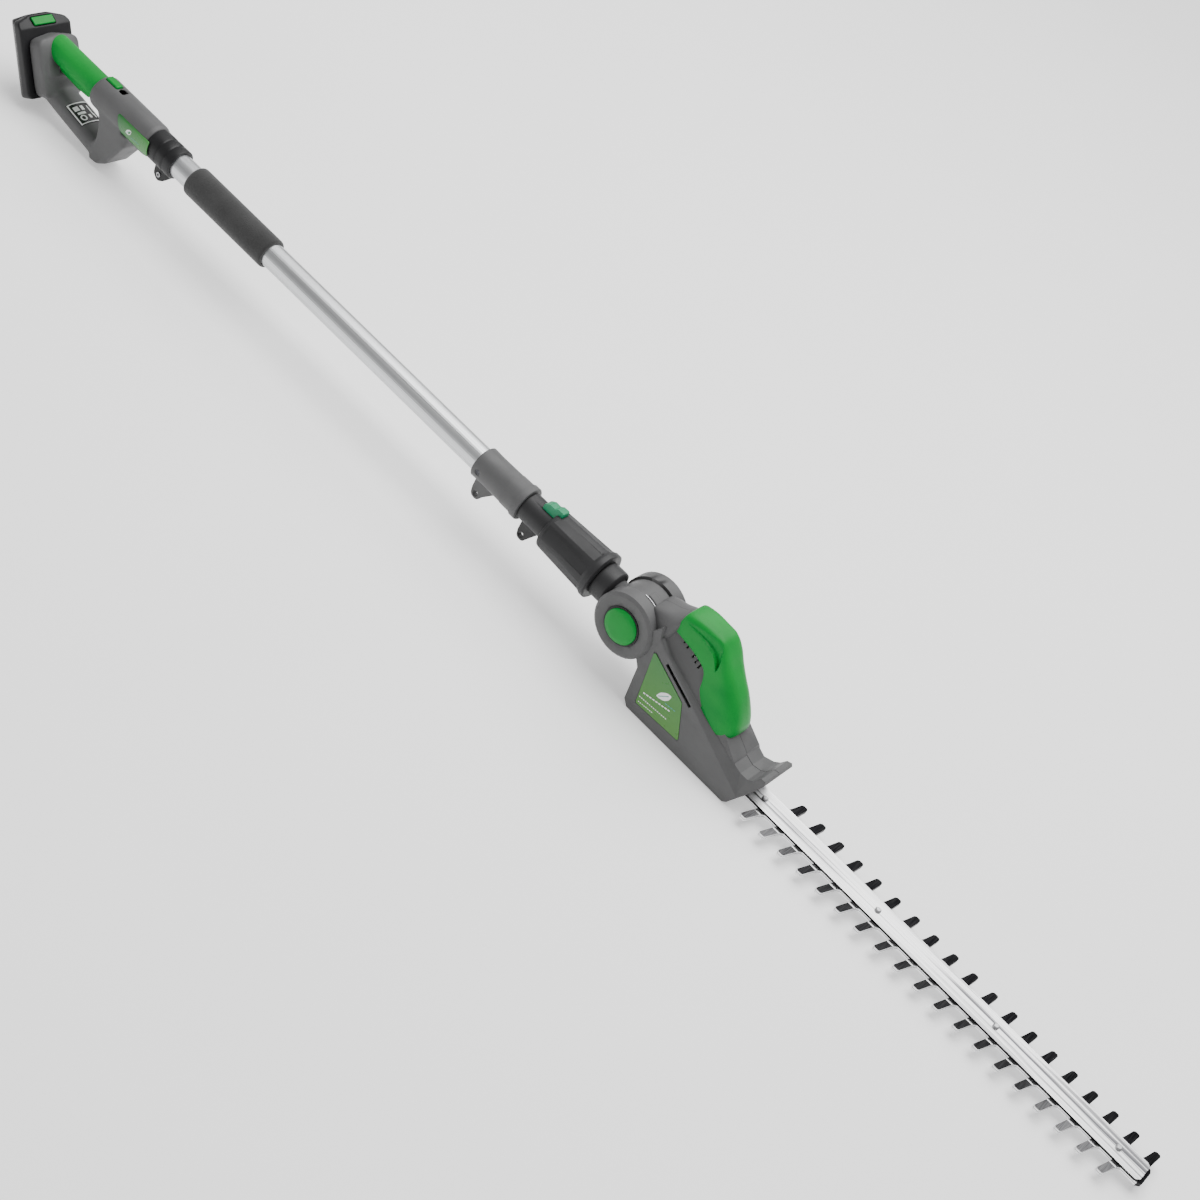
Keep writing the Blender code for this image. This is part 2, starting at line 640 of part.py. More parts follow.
# ---------------------------------------------------------------- attachment
q = PLUG_D / 2
plug_shape = [(q - 0.5, -60), (q, -60.5), (q, -173.4), (q - 1.2, -174.6), (TUBE_D / 2 - 0.2, -174.6), (TUBE_D / 2 - 0.2, PLUG_REAR + 1), (TUBE_D / 2 - 1.2, PLUG_REAR), (10, PLUG_REAR), (10, -96), (13.2, -94), (13.2, -60)]
plug = turned("coupling_plug", plug_shape, steps=28, loop=True)
cut(plug, block("latch_pocket", (27, 11.2, 18), (-142.6, 0, 20.5)))
plug_lug = side_plate("plug_lug", smooth_outline([(-171, -12), (-171, -32), (-169, -41), (-160, -42), (-155, -33), (-146, -18), (-145, -12)], [0, 5, 5, 5, 6, 2, 0], 3), -3, 3, [circle(3.6, 12, -164.4, -35.4)])
cut(plug_lug, rod("plug_lug_bore", 2 * q - 0.8, -180, -130, edge=0, steps=28))
node(join(plug, plug_lug), DARK, 0.5)

sleeve_shape = [(27.6, SLEEVE_FRONT), (29.6, SLEEVE_FRONT - 1.2), (29.6, SLEEVE_FRONT - 6.5), (28.4, SLEEVE_FRONT - 8.2), (27.6, SLEEVE_FRONT - 12), (24.6, SLEEVE_REAR + 4), (24.0, SLEEVE_REAR + 1), (22.6, SLEEVE_REAR), (q + GAP, SLEEVE_REAR), (q + GAP, SLEEVE_FRONT)]
sleeve = turned("attachment_barrel", sleeve_shape, steps=32, loop=True)
for i in range(8):
    a = math.radians(22.5 + 45 * i)
    flat = block(f"barrel_flat_{i}", (62, 11.5, 8), (-101, 0, 0))
    tilt = math.atan2(3.0, 70.0)
    flat.matrix_world = Matrix.Rotation(a, 4, "X") @ Matrix.Translation((-101 * MM, 0, (26.2 + 3.2) * MM)) @ Matrix.Rotation(-tilt, 4, "Y")
    boolean(sleeve, flat)
cut(sleeve, block("latch_window", (19, 11.2, 20), (-138.7, 0, 24.6)))
node(sleeve, DARK, 0.5)

latch_shape = smooth_outline([(-155.6, 14.9), (-155.6, 22.5), (-149, 26.6), (-142, 26.4), (-138, 29.4), (-129.8, 29.8), (-129.8, 14.9)], [0, 2.5, 2, 1, 2, 2, 0], 2)
latch = side_plate("latch_button", latch_shape, -5.2, 5.2)
bevel(latch, 0.9, 2, 40)
node(latch, GREEN, 0.45)
node(spring("latch_spring", 3.0, 0.6, 11.8, 14.6, 2, "Z", (-142.6, 0, 0)), STEEL, 0.35, 1)

# ---------------------------------------------------------------- neck, knuckle and pivot
n = NECK_D / 2
neck = turned("neck", [(n - 4.5, -38), (n - 0.6, -40), (n, -42), (n, -57.6), (n - 1, -58.6), (12.8, -58.6), (12.8, -93), (12, -93.8), (7, -93.8), (7, -38)], steps=28, loop=True)
node(neck, DARK, 0.5)
knuckle = turned("knuckle", [(PIN_R + GAP, KNUCKLE_W / 2), (KNUCKLE_R - 1.2, KNUCKLE_W / 2), (KNUCKLE_R, KNUCKLE_W / 2 - 1.2), (KNUCKLE_R, -KNUCKLE_W / 2 + 1.2), (KNUCKLE_R - 1.2, -KNUCKLE_W / 2), (PIN_R + GAP, -KNUCKLE_W / 2)], "Y", steps=36, loop=True)
for i in range(7):
    angle = 95 + 22.5 * i
    notch = block(f"detent_{i}", (4.2, 12, 3.4), (0, 0, 0))
    notch.matrix_world = Matrix.Rotation(math.radians(angle), 4, "Y") @ Matrix.Translation((0, 0, (KNUCKLE_R - 0.6) * MM))
    boolean(knuckle, notch)
stub = rod("knuckle_stub", 2 * (n - 6.5), -37.7, -20, steps=24, edge=0)
join(knuckle, stub)
cut(knuckle, block("knuckle_cable_way", (40, 9, 9), (-26, 0, 0)))
node(knuckle, GREY, 0.55)
pin = turned("pivot_pin", [(0, 29), (7.5, 29), (7.5, 26.4), (PIN_R, 26.4), (PIN_R, -22), (3.2, -22), (3.2, -26), (0, -26)], "Y", steps=16)
node(pin, STEEL, 0.3, 1)
node(spring("pivot_spring", 5.6, 1.1, -33.5, -22.9, 3, "Y"), STEEL, 0.3, 1)
button = turned("pivot_button", [(0, -33.9), (BUTTON_R - 1, -33.9), (BUTTON_R, -34.4), (BUTTON_R, -36.4), (17.4, -38.1), (12, -39.2), (0, -39.6)], "Y", steps=32)
node(button, GREEN, 0.4)
node(ring("pivot_button_ring", 45, 2 * BUTTON_R + 0.8, -35.2, -29.2, "Y", steps=28, edge=0), BLACK, 0.5)
cap = turned("pivot_cap", [(0, 39.6), (9, 39.1), (17, 37.9), (BUTTON_R, 36.2), (BUTTON_R, 34.5), (0, 34.5)], "Y", steps=32)
node(cap, GREEN, 0.4)

# ---------------------------------------------------------------- cutter head housing
BODY = [(36, 20), (36, -20), (43, -73), (50, HEAD_LOW), (193, HEAD_LOW), (197.5, -76), (207, -56), (204, -44), (190, -40), (125, -16), (60, 12), (44, 22)]
LIP = [(186, -60), (205, -60), (212, -46), (219.5, -27), (217.5, -22.5), (212, -24), (207, -33), (201, -38), (190, -40.4)]
RIDGE = [(36, 0), (190, -50), (178, -34), (152, -17), (137, 4), (115, 29), (98, 47), (64, 50), (50, 40), (38, 26)]
COVER = [(44, 47), (60, 63), (98, 60.5), (118, 38.5), (141, 12), (155.5, -13), (151, -33), (127, -28), (109, 5), (99, 25), (48, 37)]
CHAMFER = ((55, -30, 13), (190, -22, -39.5), (202, -30.2, -62))
LIP_END = ((190, -22.5, -39.5), (217, -25, -23), (202, -30, -62))
FLANK = ((60, -24, 12), (125, -24, -14), (76, -14.5, 36))


def mirrored(points):
    return [(x, -y, z) for x, y, z in points]


def head_solid(name, inset, ears=True):
    """The cutter head's outer form, or its hollow when inset by the wall."""
    half = HEAD_W / 2 - inset
    body = side_plate(name, outline_inset(BODY, inset), -half, half)
    for tag, points, side in (("r", CHAMFER, -1), ("l", mirrored(CHAMFER), 1)):
        point, normal = plane_through(*points, (0, side, 0.6))
        cut(body, half_space(f"{name}_chamfer_{tag}", point - normal * inset, normal, 500))
    lip = side_plate(name + "_lip", outline_inset(LIP, inset), -half, half)
    for tag, points, side in (("r", LIP_END, -1), ("l", mirrored(LIP_END), 1)):
        point, normal = plane_through(*points, (0, side, 0.3))
        cut(lip, half_space(f"{name}_lip_{tag}", point - normal * inset, normal, 500))
    join(body, lip)
    ridge = side_plate(name + "_ridge", outline_inset(RIDGE, inset), -24 + inset, 24 - inset)
    for tag, points, side in (("r", FLANK, -1), ("l", mirrored(FLANK), 1)):
        point, normal = plane_through(*points, (0, side, 0.6))
        cut(ridge, half_space(f"{name}_flank_{tag}", point - normal * inset, normal, 500))
    return join(body, ridge)


def head_half(name, side):
    shell = head_solid(name, 0)
    ear_outer = turned(name + "_ear", [(0, EAR_OUT), (EAR_R - 3.4, EAR_OUT), (EAR_R, EAR_OUT - 2.6), (EAR_R, -EAR_OUT + 2.6), (EAR_R - 3.4, -EAR_OUT), (0, -EAR_OUT)], "Y", steps=40)
    join(shell, ear_outer)
    cut(shell, head_solid(name + "_hollow", SHELL))
    boolean(shell, side_plate(name + "_web", [(38, 34), (30, 20), (30, -20), (38, -30), (43, -50), (43.1, 20)], -30, 30), "UNION")
    cut(shell, rod(name + "_knuckle_room", 2 * (EAR_R + 1.2), -EAR_IN, EAR_IN, "Y", steps=36, edge=0))
    cut(shell, block(name + "_rear_room", (60, 2 * EAR_IN, 120), (-32, 0, 0)))
    cut(shell, rod(name + "_pin_hole", 2 * PIN_R + 2 * GAP, -48, 48, "Y", steps=14, edge=0))
    if side < 0:
        cut(shell, rod(name + "_spring_room", 15, -33.9, -22.6, "Y", edge=0))
        cut(shell, rod(name + "_button_seat", 45.6, -50, -28.9, "Y", steps=30, edge=0))
    else:
        cut(shell, rod(name + "_pin_head_room", 16, 26, 50, "Y", edge=0))
        cut(shell, rod(name + "_cap_seat", 2 * BUTTON_R + 1.0, 34.1, 50, "Y", steps=30, edge=0))
    cut(shell, block(name + "_blade_slot", (160, 35, 13.6), (200, 0, -66.8)))
    slot = block(name + "_air_slot", (50, 30, 4), (85.8, side * 30, -7.3), Matrix.Rotation(math.radians(24), 4, "Y"))
    cut(shell, slot)
    for i in range(6):
        x = 57 + 5.6 * i + (4.5 if i > 2 else 0)
        vent = block(f"{name}_vent_{i}", (2.0, 12, 6.5), (x, side * 19, 35.5 - 0.44 * (x - 57)), Matrix.Rotation(math.radians(10), 4, "Y"))
        cut(shell, vent)
    if side < 0:
        cut(shell, side_plate(name + "_label_seat", LABEL_SEAT, -31, -29.3))
    cut(shell, block(name + "_far_side", (340, 80, 220), (90, side * (GAP / 2 - 40), -10)))
    return shell


LABEL = smooth_outline([(44, 4), (56, -66), (118, -63), (99, -21)], 2.0, 3)
LABEL_SEAT = smooth_outline([(43.4, 7), (55.3, -66.6), (119, -63.6), (99.4, -20.3)], 2.0, 3)
node(head_half("head_shell_right", -1), GREY, 0.6)
node(head_half("head_shell_left", 1), GREY, 0.6)
node(side_plate("head_side_label", LABEL, -30.1, -29.6), (0.10, 0.36, 0.10), 0.35)

cover = side_plate("top_cover", smooth_outline(COVER, [2, 3, 6, 8, 8, 4, 3, 3, 4, 4, 2], 2), -COVER_HALF, COVER_HALF)
for tag, points, side in (("r", FLANK, -1), ("l", mirrored(FLANK), 1)):
    point, normal = plane_through(*points, (0, side, 0.6))
    cut(cover, half_space(f"cover_flank_{tag}", point + normal * 2.6, normal, 500))
    point, normal = plane_through((44, side * 7, 52), (100, side * 9, 61.5), (100, side * 15, 50), (0, side, 1))
    cut(cover, half_space(f"cover_edge_{tag}", point, normal, 500))
    point, normal = plane_through((118, side * 12, 40), (155, side * 14, -12), (150, side * 22, -18), (0, side, 1))
    cut(cover, half_space(f"cover_front_{tag}", point, normal, 500))
cut(cover, head_solid("cover_room", -GAP))
node(cover, GREEN, 0.45)

# ---------------------------------------------------------------- motor and gearing
motor = turned("motor_can", [(0, 15), (6, 15), (6, 12), (MOTOR_R - 1, 12), (MOTOR_R, 11), (MOTOR_R, -29), (MOTOR_R - 1, -30), (3.2, -30), (3.2, -28), (MOTOR_R - 1.5, -28), (MOTOR_R - 1.5, 9), (3.2, 9), (3.2, 13), (0, 13)], "Z", (MOTOR_X, 0, 0), 20)
node(motor, (0.45, 0.45, 0.46), 0.35, 1)
rotor = turned("motor_rotor", [(0, 12), (1.6, 12), (1.6, 5), (10.5, 5), (10.5, -24), (1.6, -24), (1.6, -53), (0, -53)], "Z", (MOTOR_X, 0, 0), 14)
pinion = top_plate("pinion", moved(gear_outline(PINION_TEETH, TOOTH_MODULE), MOTOR_X, 0), -51.5, -42.5)
node(join(rotor, pinion), STEEL, 0.3, 1)
GEAR_X = MOTOR_X + TOOTH_MODULE * (PINION_TEETH + GEAR_TEETH) / 2
drive = top_plate("drive_gear", moved(gear_outline(GEAR_TEETH, TOOTH_MODULE, GEAR_PHASE), GEAR_X, 0), -50, -44)
join(drive, rod("gear_hub", 14, -57.8, -45, "Z", (GEAR_X, 0, 0), 14, 0))
join(drive, rod("gear_shaft", 6, -76.5, -33, "Z", (GEAR_X, 0, 0), 10, 0))
join(drive, rod("crank_upper", 2 * CRANK_R, -67.9, -64.9, "Z", (GEAR_X, CRANK, 0), 20, 0))
join(drive, rod("crank_lower", 2 * CRANK_R, -70.9, -67.4, "Z", (GEAR_X, -CRANK, 0), 20, 0))
node(drive, STEEL, 0.35, 1)
node(ring("gear_bearing", 17, 6.6, -41.6, -36.6, "Z", (GEAR_X, 0, 0), 20, 0), STEEL, 0.25, 1)
plate_shape = smooth_outline([(58, -23), (156, -23), (156, 23), (58, 23)], 5, 3)
plate = top_plate("gearbox_plate", plate_shape, -61.6, -58.2, [circle(7.6, 20, GEAR_X, 0), circle(2.2, 10, 145, 10), circle(2.2, 10, 145, -10)])
node(plate, (0.5, 0.5, 0.5), 0.45, 1)
frame_shape = smooth_outline([(66, -20), (134, -20), (134, 20), (66, 20)], 4, 3)
node(top_plate("motor_bracket", frame_shape, -34.0, -30.4, [circle(5.2, 20, MOTOR_X, 0), circle(3.6, 14, GEAR_X, 0)]), (0.5, 0.5, 0.5), 0.45, 1)

# ---------------------------------------------------------------- blades
UPPER_TOP = BAR_TOP - BAR_T - GAP
LOWER_TOP = UPPER_TOP - BLADE_T - GAP


def blade_outline(half, tip):
    """A double-sided blade: a driving yoke at the rear, then a row of leaning teeth down each side."""
    right_tooth = [
        (0.5, half), (-5.9, tip - 1.8), (-4.4, tip), (0.6, tip), (2.0, tip - 1.4),
        (6.5, half + 8), (8.6, half + 3.4), (11.2, half + 0.9), (15, half),
    ]
    left_tooth = [
        (2.5, half), (4.6, tip - 2), (3.2, tip), (-1.2, tip), (-3.4, tip - 2.2),
        (-6.6, half + 8), (-8.4, half + 3), (-12, half),
    ]
    out = [(GEAR_X - 26, -19), (GEAR_X + 26, -19), (GEAR_X + 36, -half)]
    for i in range(TEETH):
        root = FIRST_TOOTH + PITCH * (i - 1)
        out += [(root + x, -y) for x, y in right_tooth]
    out += [(BLADE_TIP - 4, -half), (BLADE_TIP, -half + 4), (BLADE_TIP, half - 4), (BLADE_TIP - 2, half)]
    for i in reversed(range(TEETH)):
        root = FIRST_TOOTH + LEFT_TOOTH_LEAD + PITCH * i
        out += [(root + x, y) for x, y in left_tooth]
    out += [(GEAR_X + 36, half), (GEAR_X + 26, 19), (GEAR_X - 26, 19)]
    return out


BOLTS = [222.0, 384.0, 546.0, 708.0]
SLOT_HALF = CRANK + 0.3


def long_slot(x):
    right = circle(2.0, 5, x + SLOT_HALF, 0, -90, 90)
    left = circle(2.0, 5, x - SLOT_HALF, 0, 90, 270)
    return right + left


def yoke_slot():
    w = CRANK_R + CRANK + GAP
    return rounded_rect(2 * (w + CRANK), 2 * w, 3, GEAR_X, 0, 2)


slots = [long_slot(x) for x in BOLTS]
upper = top_plate("upper_blade", blade_outline(BLADE_HALF, TOOTH_TIP), UPPER_TOP - BLADE_T, UPPER_TOP, [yoke_slot(), *slots])
node(upper, (0.42, 0.42, 0.43), 0.35, 1)
lower = top_plate("lower_blade", blade_outline(BLADE_HALF, TOOTH_TIP), LOWER_TOP - BLADE_T, LOWER_TOP, [yoke_slot(), *slots])
node(lower, (0.42, 0.42, 0.43), 0.35, 1)
bar_shape = smooth_outline([(136, -BAR_HALF), (BLADE_TIP - 8, -BAR_HALF), (BLADE_TIP - 4, -10), (BLADE_TIP - 4, 12), (BLADE_TIP - 8, BAR_HALF), (136, BAR_HALF)], 2, 2)
bar = top_plate("guide_bar", bar_shape, BAR_TOP - BAR_T, BAR_TOP, [circle(1.8, 10, x, 0) for x in BOLTS] + [circle(1.9, 10, 145, y) for y in (-10, 10)])
node(bar, STEEL, 0.12, 1)
for i, x in enumerate(BOLTS):
    low = LOWER_TOP - BLADE_T
    bolt = turned(f"blade_bolt_{i + 1}", [(0, BAR_TOP + 2.4), (2.4, BAR_TOP + 2.4), (3.6, BAR_TOP + 1.4), (3.6, BAR_TOP + GAP), (1.5, BAR_TOP + GAP), (1.5, low - GAP), (4.0, low - GAP), (4.0, low - 3.0), (0, low - 3.0)], "Z", (x, 0, 0), 10)
    node(bolt, STEEL, 0.25, 1)
for i, y in enumerate((-10, 10)):
    screw = turned(f"bar_screw_{i + 1}", [(0, -55.6), (3.4, -55.6), (3.4, -57.9), (1.6, -57.9), (1.6, BAR_TOP - BAR_T), (0, BAR_TOP - BAR_T)], "Z", (145, y, 0), 10)
    node(screw, STEEL, 0.3, 1)


# ---------------------------------------------------------------- joints: each moving group hangs from an empty on its axis
def holder(name, at, children, parent=None, turn=None):
    empty = bpy.data.objects.new(name, None)
    model.objects.link(empty)
    empty.empty_display_size = 0.02
    empty.matrix_world = Matrix.Translation(Vector(at) * MM) @ (turn or Matrix.Identity(4))
    bpy.context.view_layer.update()
    if parent is not None:
        keep = empty.matrix_world.copy()
        empty.parent = bpy.data.objects[parent]
        empty.matrix_parent_inverse = bpy.data.objects[parent].matrix_world.inverted()
        empty.matrix_world = keep
    bpy.context.view_layer.update()
    for child in children:
        obj = bpy.data.objects[child]
        keep = obj.matrix_world.copy()
        obj.parent = empty
        obj.matrix_parent_inverse = empty.matrix_world.inverted()
        obj.matrix_world = keep
    return empty


RAKE_TURN = Matrix.Rotation(math.radians(-RAKE), 4, "Y")
holder("battery_slide", (FOOT_X, 0, FOOT_Z), ["battery_front_shell", "battery_rear_shell", "battery_cells", "battery_button_spring"], turn=RAKE_TURN)
holder("battery_button_press", tuple((FOOT @ button_frame).translation / MM), ["battery_button"], "battery_slide")
holder("trigger_hinge", TRIGGER_AXIS, ["trigger"])
holder("lock_off_press", (-893, 0, 20), ["lock_off_button"])
holder("attachment_pull", (FRONT_COLLAR_FRONT, 0, 0), ["coupling_plug", "attachment_barrel", "neck", "knuckle", "latch_spring"])
holder("latch_press", (-142.6, 0, 25), ["latch_button"], "attachment_pull")
holder("head_tilt", (0, 0, 0), ["head_shell_right", "head_shell_left", "head_side_label", "top_cover", "pivot_pin", "pivot_spring", "pivot_cap", "pivot_button_ring", "bar_screw_1", "bar_screw_2", "motor_can", "gear_bearing", "gearbox_plate", "motor_bracket", "guide_bar"] + [f"blade_bolt_{i + 1}" for i in range(len(BOLTS))], "attachment_pull")
holder("pivot_button_press", (0, -EAR_OUT, 0), ["pivot_button"], "head_tilt")
holder("motor_spin", (MOTOR_X, 0, 0), ["motor_rotor"], "head_tilt")
holder("gear_spin", (GEAR_X, 0, -48), ["drive_gear"], "head_tilt")
holder("upper_blade_slide", (GEAR_X, 0, UPPER_TOP), ["upper_blade"], "head_tilt")
holder("lower_blade_slide", (GEAR_X, 0, LOWER_TOP), ["lower_blade"], "head_tilt")

# The shared frame stands on the tool's lowest point, half way along its length.
shift = Vector((PIVOT_X, 0, PIVOT_Z)) * MM
for obj in list(model.objects) + list(cutters.objects):
    if obj.parent is None:
        obj.matrix_world = Matrix.Translation(shift) @ obj.matrix_world
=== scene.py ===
"""The looks of a pole hedge trimmer: moulded grey and green housings, a satin pole and a bright blade."""

import json
import math

import bmesh
import bpy
import numpy as np
from mathutils import Matrix, Vector


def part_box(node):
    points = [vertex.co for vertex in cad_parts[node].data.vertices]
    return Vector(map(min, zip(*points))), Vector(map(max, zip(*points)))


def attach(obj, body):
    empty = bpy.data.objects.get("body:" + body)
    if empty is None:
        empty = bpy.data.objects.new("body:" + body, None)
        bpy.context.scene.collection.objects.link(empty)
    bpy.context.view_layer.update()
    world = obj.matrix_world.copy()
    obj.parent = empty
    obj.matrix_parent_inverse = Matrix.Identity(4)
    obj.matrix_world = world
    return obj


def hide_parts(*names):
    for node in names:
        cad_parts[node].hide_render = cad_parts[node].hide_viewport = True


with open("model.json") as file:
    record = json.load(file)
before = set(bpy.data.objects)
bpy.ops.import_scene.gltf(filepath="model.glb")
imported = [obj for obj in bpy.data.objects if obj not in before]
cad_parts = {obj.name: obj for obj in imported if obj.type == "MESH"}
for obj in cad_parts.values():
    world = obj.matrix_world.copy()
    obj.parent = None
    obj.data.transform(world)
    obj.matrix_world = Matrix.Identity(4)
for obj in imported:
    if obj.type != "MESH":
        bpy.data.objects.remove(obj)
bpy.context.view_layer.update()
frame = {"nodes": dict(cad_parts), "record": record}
NODES = frame["nodes"]
BODY_OF = {n: b for b, members in frame["record"]["behaviour"]["bodies"].items() for n in members}
SLOT_OF = {row["node"]: row["material_slot"] for row in frame["record"]["subparts"]}
MM = 0.001
PIVOT = Vector((0.15115, 0.0, 0.080))


def at(x, y, z):
    """A point given in millimetres from the head's pivot, in the shared frame."""
    return PIVOT + Vector((x, y, z)) * MM


# ---------------------------------------------------------------- materials
class Look:
    """A material under construction: its nodes, and the links between them."""

    def __init__(self, name, colour, rough, metallic=0.0, gloss=0.3, **uniform):
        self.mat = bpy.data.materials.new(name)
        self.mat.use_nodes = True
        self.tree = self.mat.node_tree
        self.shader = self.tree.nodes["Principled BSDF"]
        self.set(self.shader, "Base Color", (*colour, 1))
        self.set(self.shader, "Roughness", rough)
        self.set(self.shader, "Metallic", metallic)
        self.set(self.shader, "Specular IOR Level", 0.5 if metallic else gloss)
        for key, value in uniform.items():
            self.set(self.shader, key.replace("_", " ").title().replace("Ior", "IOR"), value)
        self.colour, self.rough = (*colour, 1), rough
        self.coords = self.add("ShaderNodeTexCoord").outputs["Object"]
        self.normal = None

    def set(self, node, key, value):
        if isinstance(value, bpy.types.NodeSocket):
            self.tree.links.new(value, node.inputs[key])
        elif value is not None:
            node.inputs[key].default_value = value

    def add(self, kind, outputs=None, inputs=None, **props):
        node = self.tree.nodes.new(kind)
        for key, value in props.items():
            setattr(node, key, value)
        for key, value in (inputs or {}).items():
            self.set(node, key, value)
        return node if outputs is None else node.outputs[outputs]

    def math(self, op, a, b=None):
        return self.add("ShaderNodeMath", 0, {0: a, 1: b}, operation=op)

    def stretched(self, x=1, y=1, z=1, turn=(0, 0, 0)):
        inputs = {"Vector": self.coords, "Rotation": turn, "Scale": (x, y, z)}
        return self.add("ShaderNodeMapping", 0, inputs)

    def noise(self, scale, detail=3, vector=None):
        inputs = {"Vector": vector or self.coords, "Scale": scale, "Detail": detail}
        return self.add("ShaderNodeTexNoise", 0, inputs)

    def ramp(self, value, low, high, to_low=0.0, to_high=1.0):
        inputs = {"Value": value, "From Min": low, "From Max": high, "To Min": to_low, "To Max": to_high}
        return self.add("ShaderNodeMapRange", 0, inputs)

    def mix(self, share, a, b):
        node = self.add("ShaderNodeMix", data_type="RGBA")
        self.set(node, 0, share)
        self.set(node, 6, a)
        self.set(node, 7, b)
        return node.outputs[2]

    def axis(self, index):
        return self.add("ShaderNodeSeparateXYZ", index, {0: self.coords})

    def bump(self, height, distance, strength=1.0):
        inputs = {"Height": height, "Distance": distance, "Strength": strength}
        if self.normal is not None:
            inputs["Normal"] = self.normal
        self.normal = self.add("ShaderNodeBump", "Normal", inputs)

    def edges(self, radius):
        """1 along sharp edges and 0 on flat surfaces."""
        round_normal = self.add("ShaderNodeBevel", "Normal", {"Radius": radius}, samples=4)
        true_normal = self.add("ShaderNodeNewGeometry").outputs["Normal"]
        inputs = {0: round_normal, 1: true_normal}
        closeness = self.add("ShaderNodeVectorMath", "Value", inputs, operation="DOT_PRODUCT")
        self.normal = round_normal
        return self.ramp(closeness, 0.98, 0.80)

    def paint(self, colour):
        self.colour = colour
        self.set(self.shader, "Base Color", colour)

    def tint(self, share, colour):
        self.paint(self.mix(share, self.colour, (*colour, 1)))

    def shine(self, value):
        self.rough = value
        self.set(self.shader, "Roughness", value)

    def done(self):
        if self.normal is not None:
            self.set(self.shader, "Normal", self.normal)
        return self.mat


def shade(colour, factor):
    return tuple(min(1.0, c * factor) for c in colour)


def moulded(name, colour, rough, grain=0.00005, edge=0.0007, **uniform):
    """A spark-textured plastic moulding: fine grain, faint flow marks, edges rubbed a little lighter."""
    look = Look(name, colour, rough, **uniform)
    rubbed = look.edges(edge)
    flow = look.noise(22, 4, look.stretched(1, 2.2, 2.2))
    look.paint(look.mix(look.ramp(flow, 0.3, 0.7), (*shade(colour, 0.90), 1), (*shade(colour, 1.10), 1)))
    speck = look.noise(1500, 2)
    look.tint(look.ramp(speck, 0.62, 0.80, 0.0, 0.35), shade(colour, 1.7))
    look.tint(look.ramp(look.noise(1100, 2), 0.62, 0.80, 0.0, 0.4), shade(colour, 0.55))
    patchy = look.ramp(look.noise(160, 3), 0.35, 0.7, 0.05, 0.55)
    look.tint(look.math("MULTIPLY", rubbed, patchy), shade(colour, 1.8))
    look.shine(look.ramp(look.noise(60, 3), 0.3, 0.7, rough - 0.05, rough + 0.07))
    look.bump(look.noise(1300, 3), grain, 0.8)
    return look


def brushed(name, colour, rough, along="x", scratch=0.00002, **uniform):
    """Metal drawn or ground along one axis."""
    look = Look(name, colour, rough, 1.0, **uniform)
    look.edges(0.0004)
    scale = {"x": (6, 900, 900), "y": (900, 6, 900), "z": (900, 900, 6)}[along]
    lines = look.noise(1.0, 4, look.stretched(*scale))
    look.paint(look.mix(look.ramp(lines, 0.3, 0.7), (*shade(colour, 0.86), 1), (*shade(colour, 1.08), 1)))
    coarse = look.noise(1.0, 3, look.stretched(*(s * 0.6 for s in scale)))
    look.shine(look.ramp(coarse, 0.3, 0.7, rough * 0.75, rough * 1.3))
    look.bump(lines, scratch, 0.6)
    return look


GREEN = (0.0, 0.235, 0.030)
TEAL = (0.002, 0.24, 0.10)
GREY = (0.090, 0.090, 0.091)
DARK = (0.022, 0.022, 0.023)
BLACK = (0.010, 0.010, 0.011)

grey_plastic = moulded("grey_moulding", GREY, 0.50).done()

head_look = moulded("grey_moulding_parted", GREY, 0.50)
seam = head_look.ramp(head_look.math("ABSOLUTE", head_look.axis(1)), 0.00018, 0.00042, 1.0, 0.0)
head_look.tint(head_look.math("MULTIPLY", seam, 0.75), shade(GREY, 0.25))
head_look.bump(head_look.math("SUBTRACT", 1.0, seam), 0.0003, 0.6)
head_plastic = head_look.done()

dark_plastic = moulded("dark_moulding", DARK, 0.46).done()
black_plastic = moulded("black_moulding", BLACK, 0.42, grain=0.00004).done()
green_plastic = moulded("green_moulding", GREEN, 0.40, grain=0.00002, gloss=0.18).done()
teal_plastic = moulded("green_latch_moulding", TEAL, 0.36, grain=0.00002).done()

rubber_look = moulded("green_soft_rubber", GREEN, 0.58, grain=0.00005, gloss=0.18)
pores = rubber_look.add("ShaderNodeTexVoronoi", 0, {"Vector": rubber_look.coords, "Scale": 900.0})
rubber_look.bump(rubber_look.ramp(pores, 0.0, 0.5), 0.00006, 0.6)
green_rubber = rubber_look.done()

foam_look = Look("black_foam", (0.010, 0.010, 0.010), 0.88, sheen_weight=0.25, sheen_roughness=0.6)
cells = foam_look.add("ShaderNodeTexVoronoi", 0, {"Vector": foam_look.coords, "Scale": 750.0})
fine = foam_look.noise(1900, 3)
# The foam's cell pits are painted darker than the cell walls: painted shade in the pores.
PIT_PAINTED_SHADE, CELL_WALL = (0.004, 0.004, 0.004, 1), (0.017, 0.017, 0.017, 1)
foam_look.paint(foam_look.mix(foam_look.ramp(cells, 0.15, 0.6), PIT_PAINTED_SHADE, CELL_WALL))
foam_look.tint(foam_look.ramp(foam_look.noise(35, 3), 0.45, 0.75, 0.0, 0.35), (0.034, 0.034, 0.034))
foam_look.bump(foam_look.ramp(cells, 0.0, 0.6), 0.0003, 0.8)
foam_look.bump(fine, 0.0001, 0.6)
foam = foam_look.done()

alu_look = brushed("satin_pole", (0.62, 0.63, 0.64), 0.34)
alu_look.tint(alu_look.ramp(alu_look.noise(14, 3), 0.5, 0.8, 0.0, 0.15), (0.45, 0.45, 0.46))
satin_alu = alu_look.done()

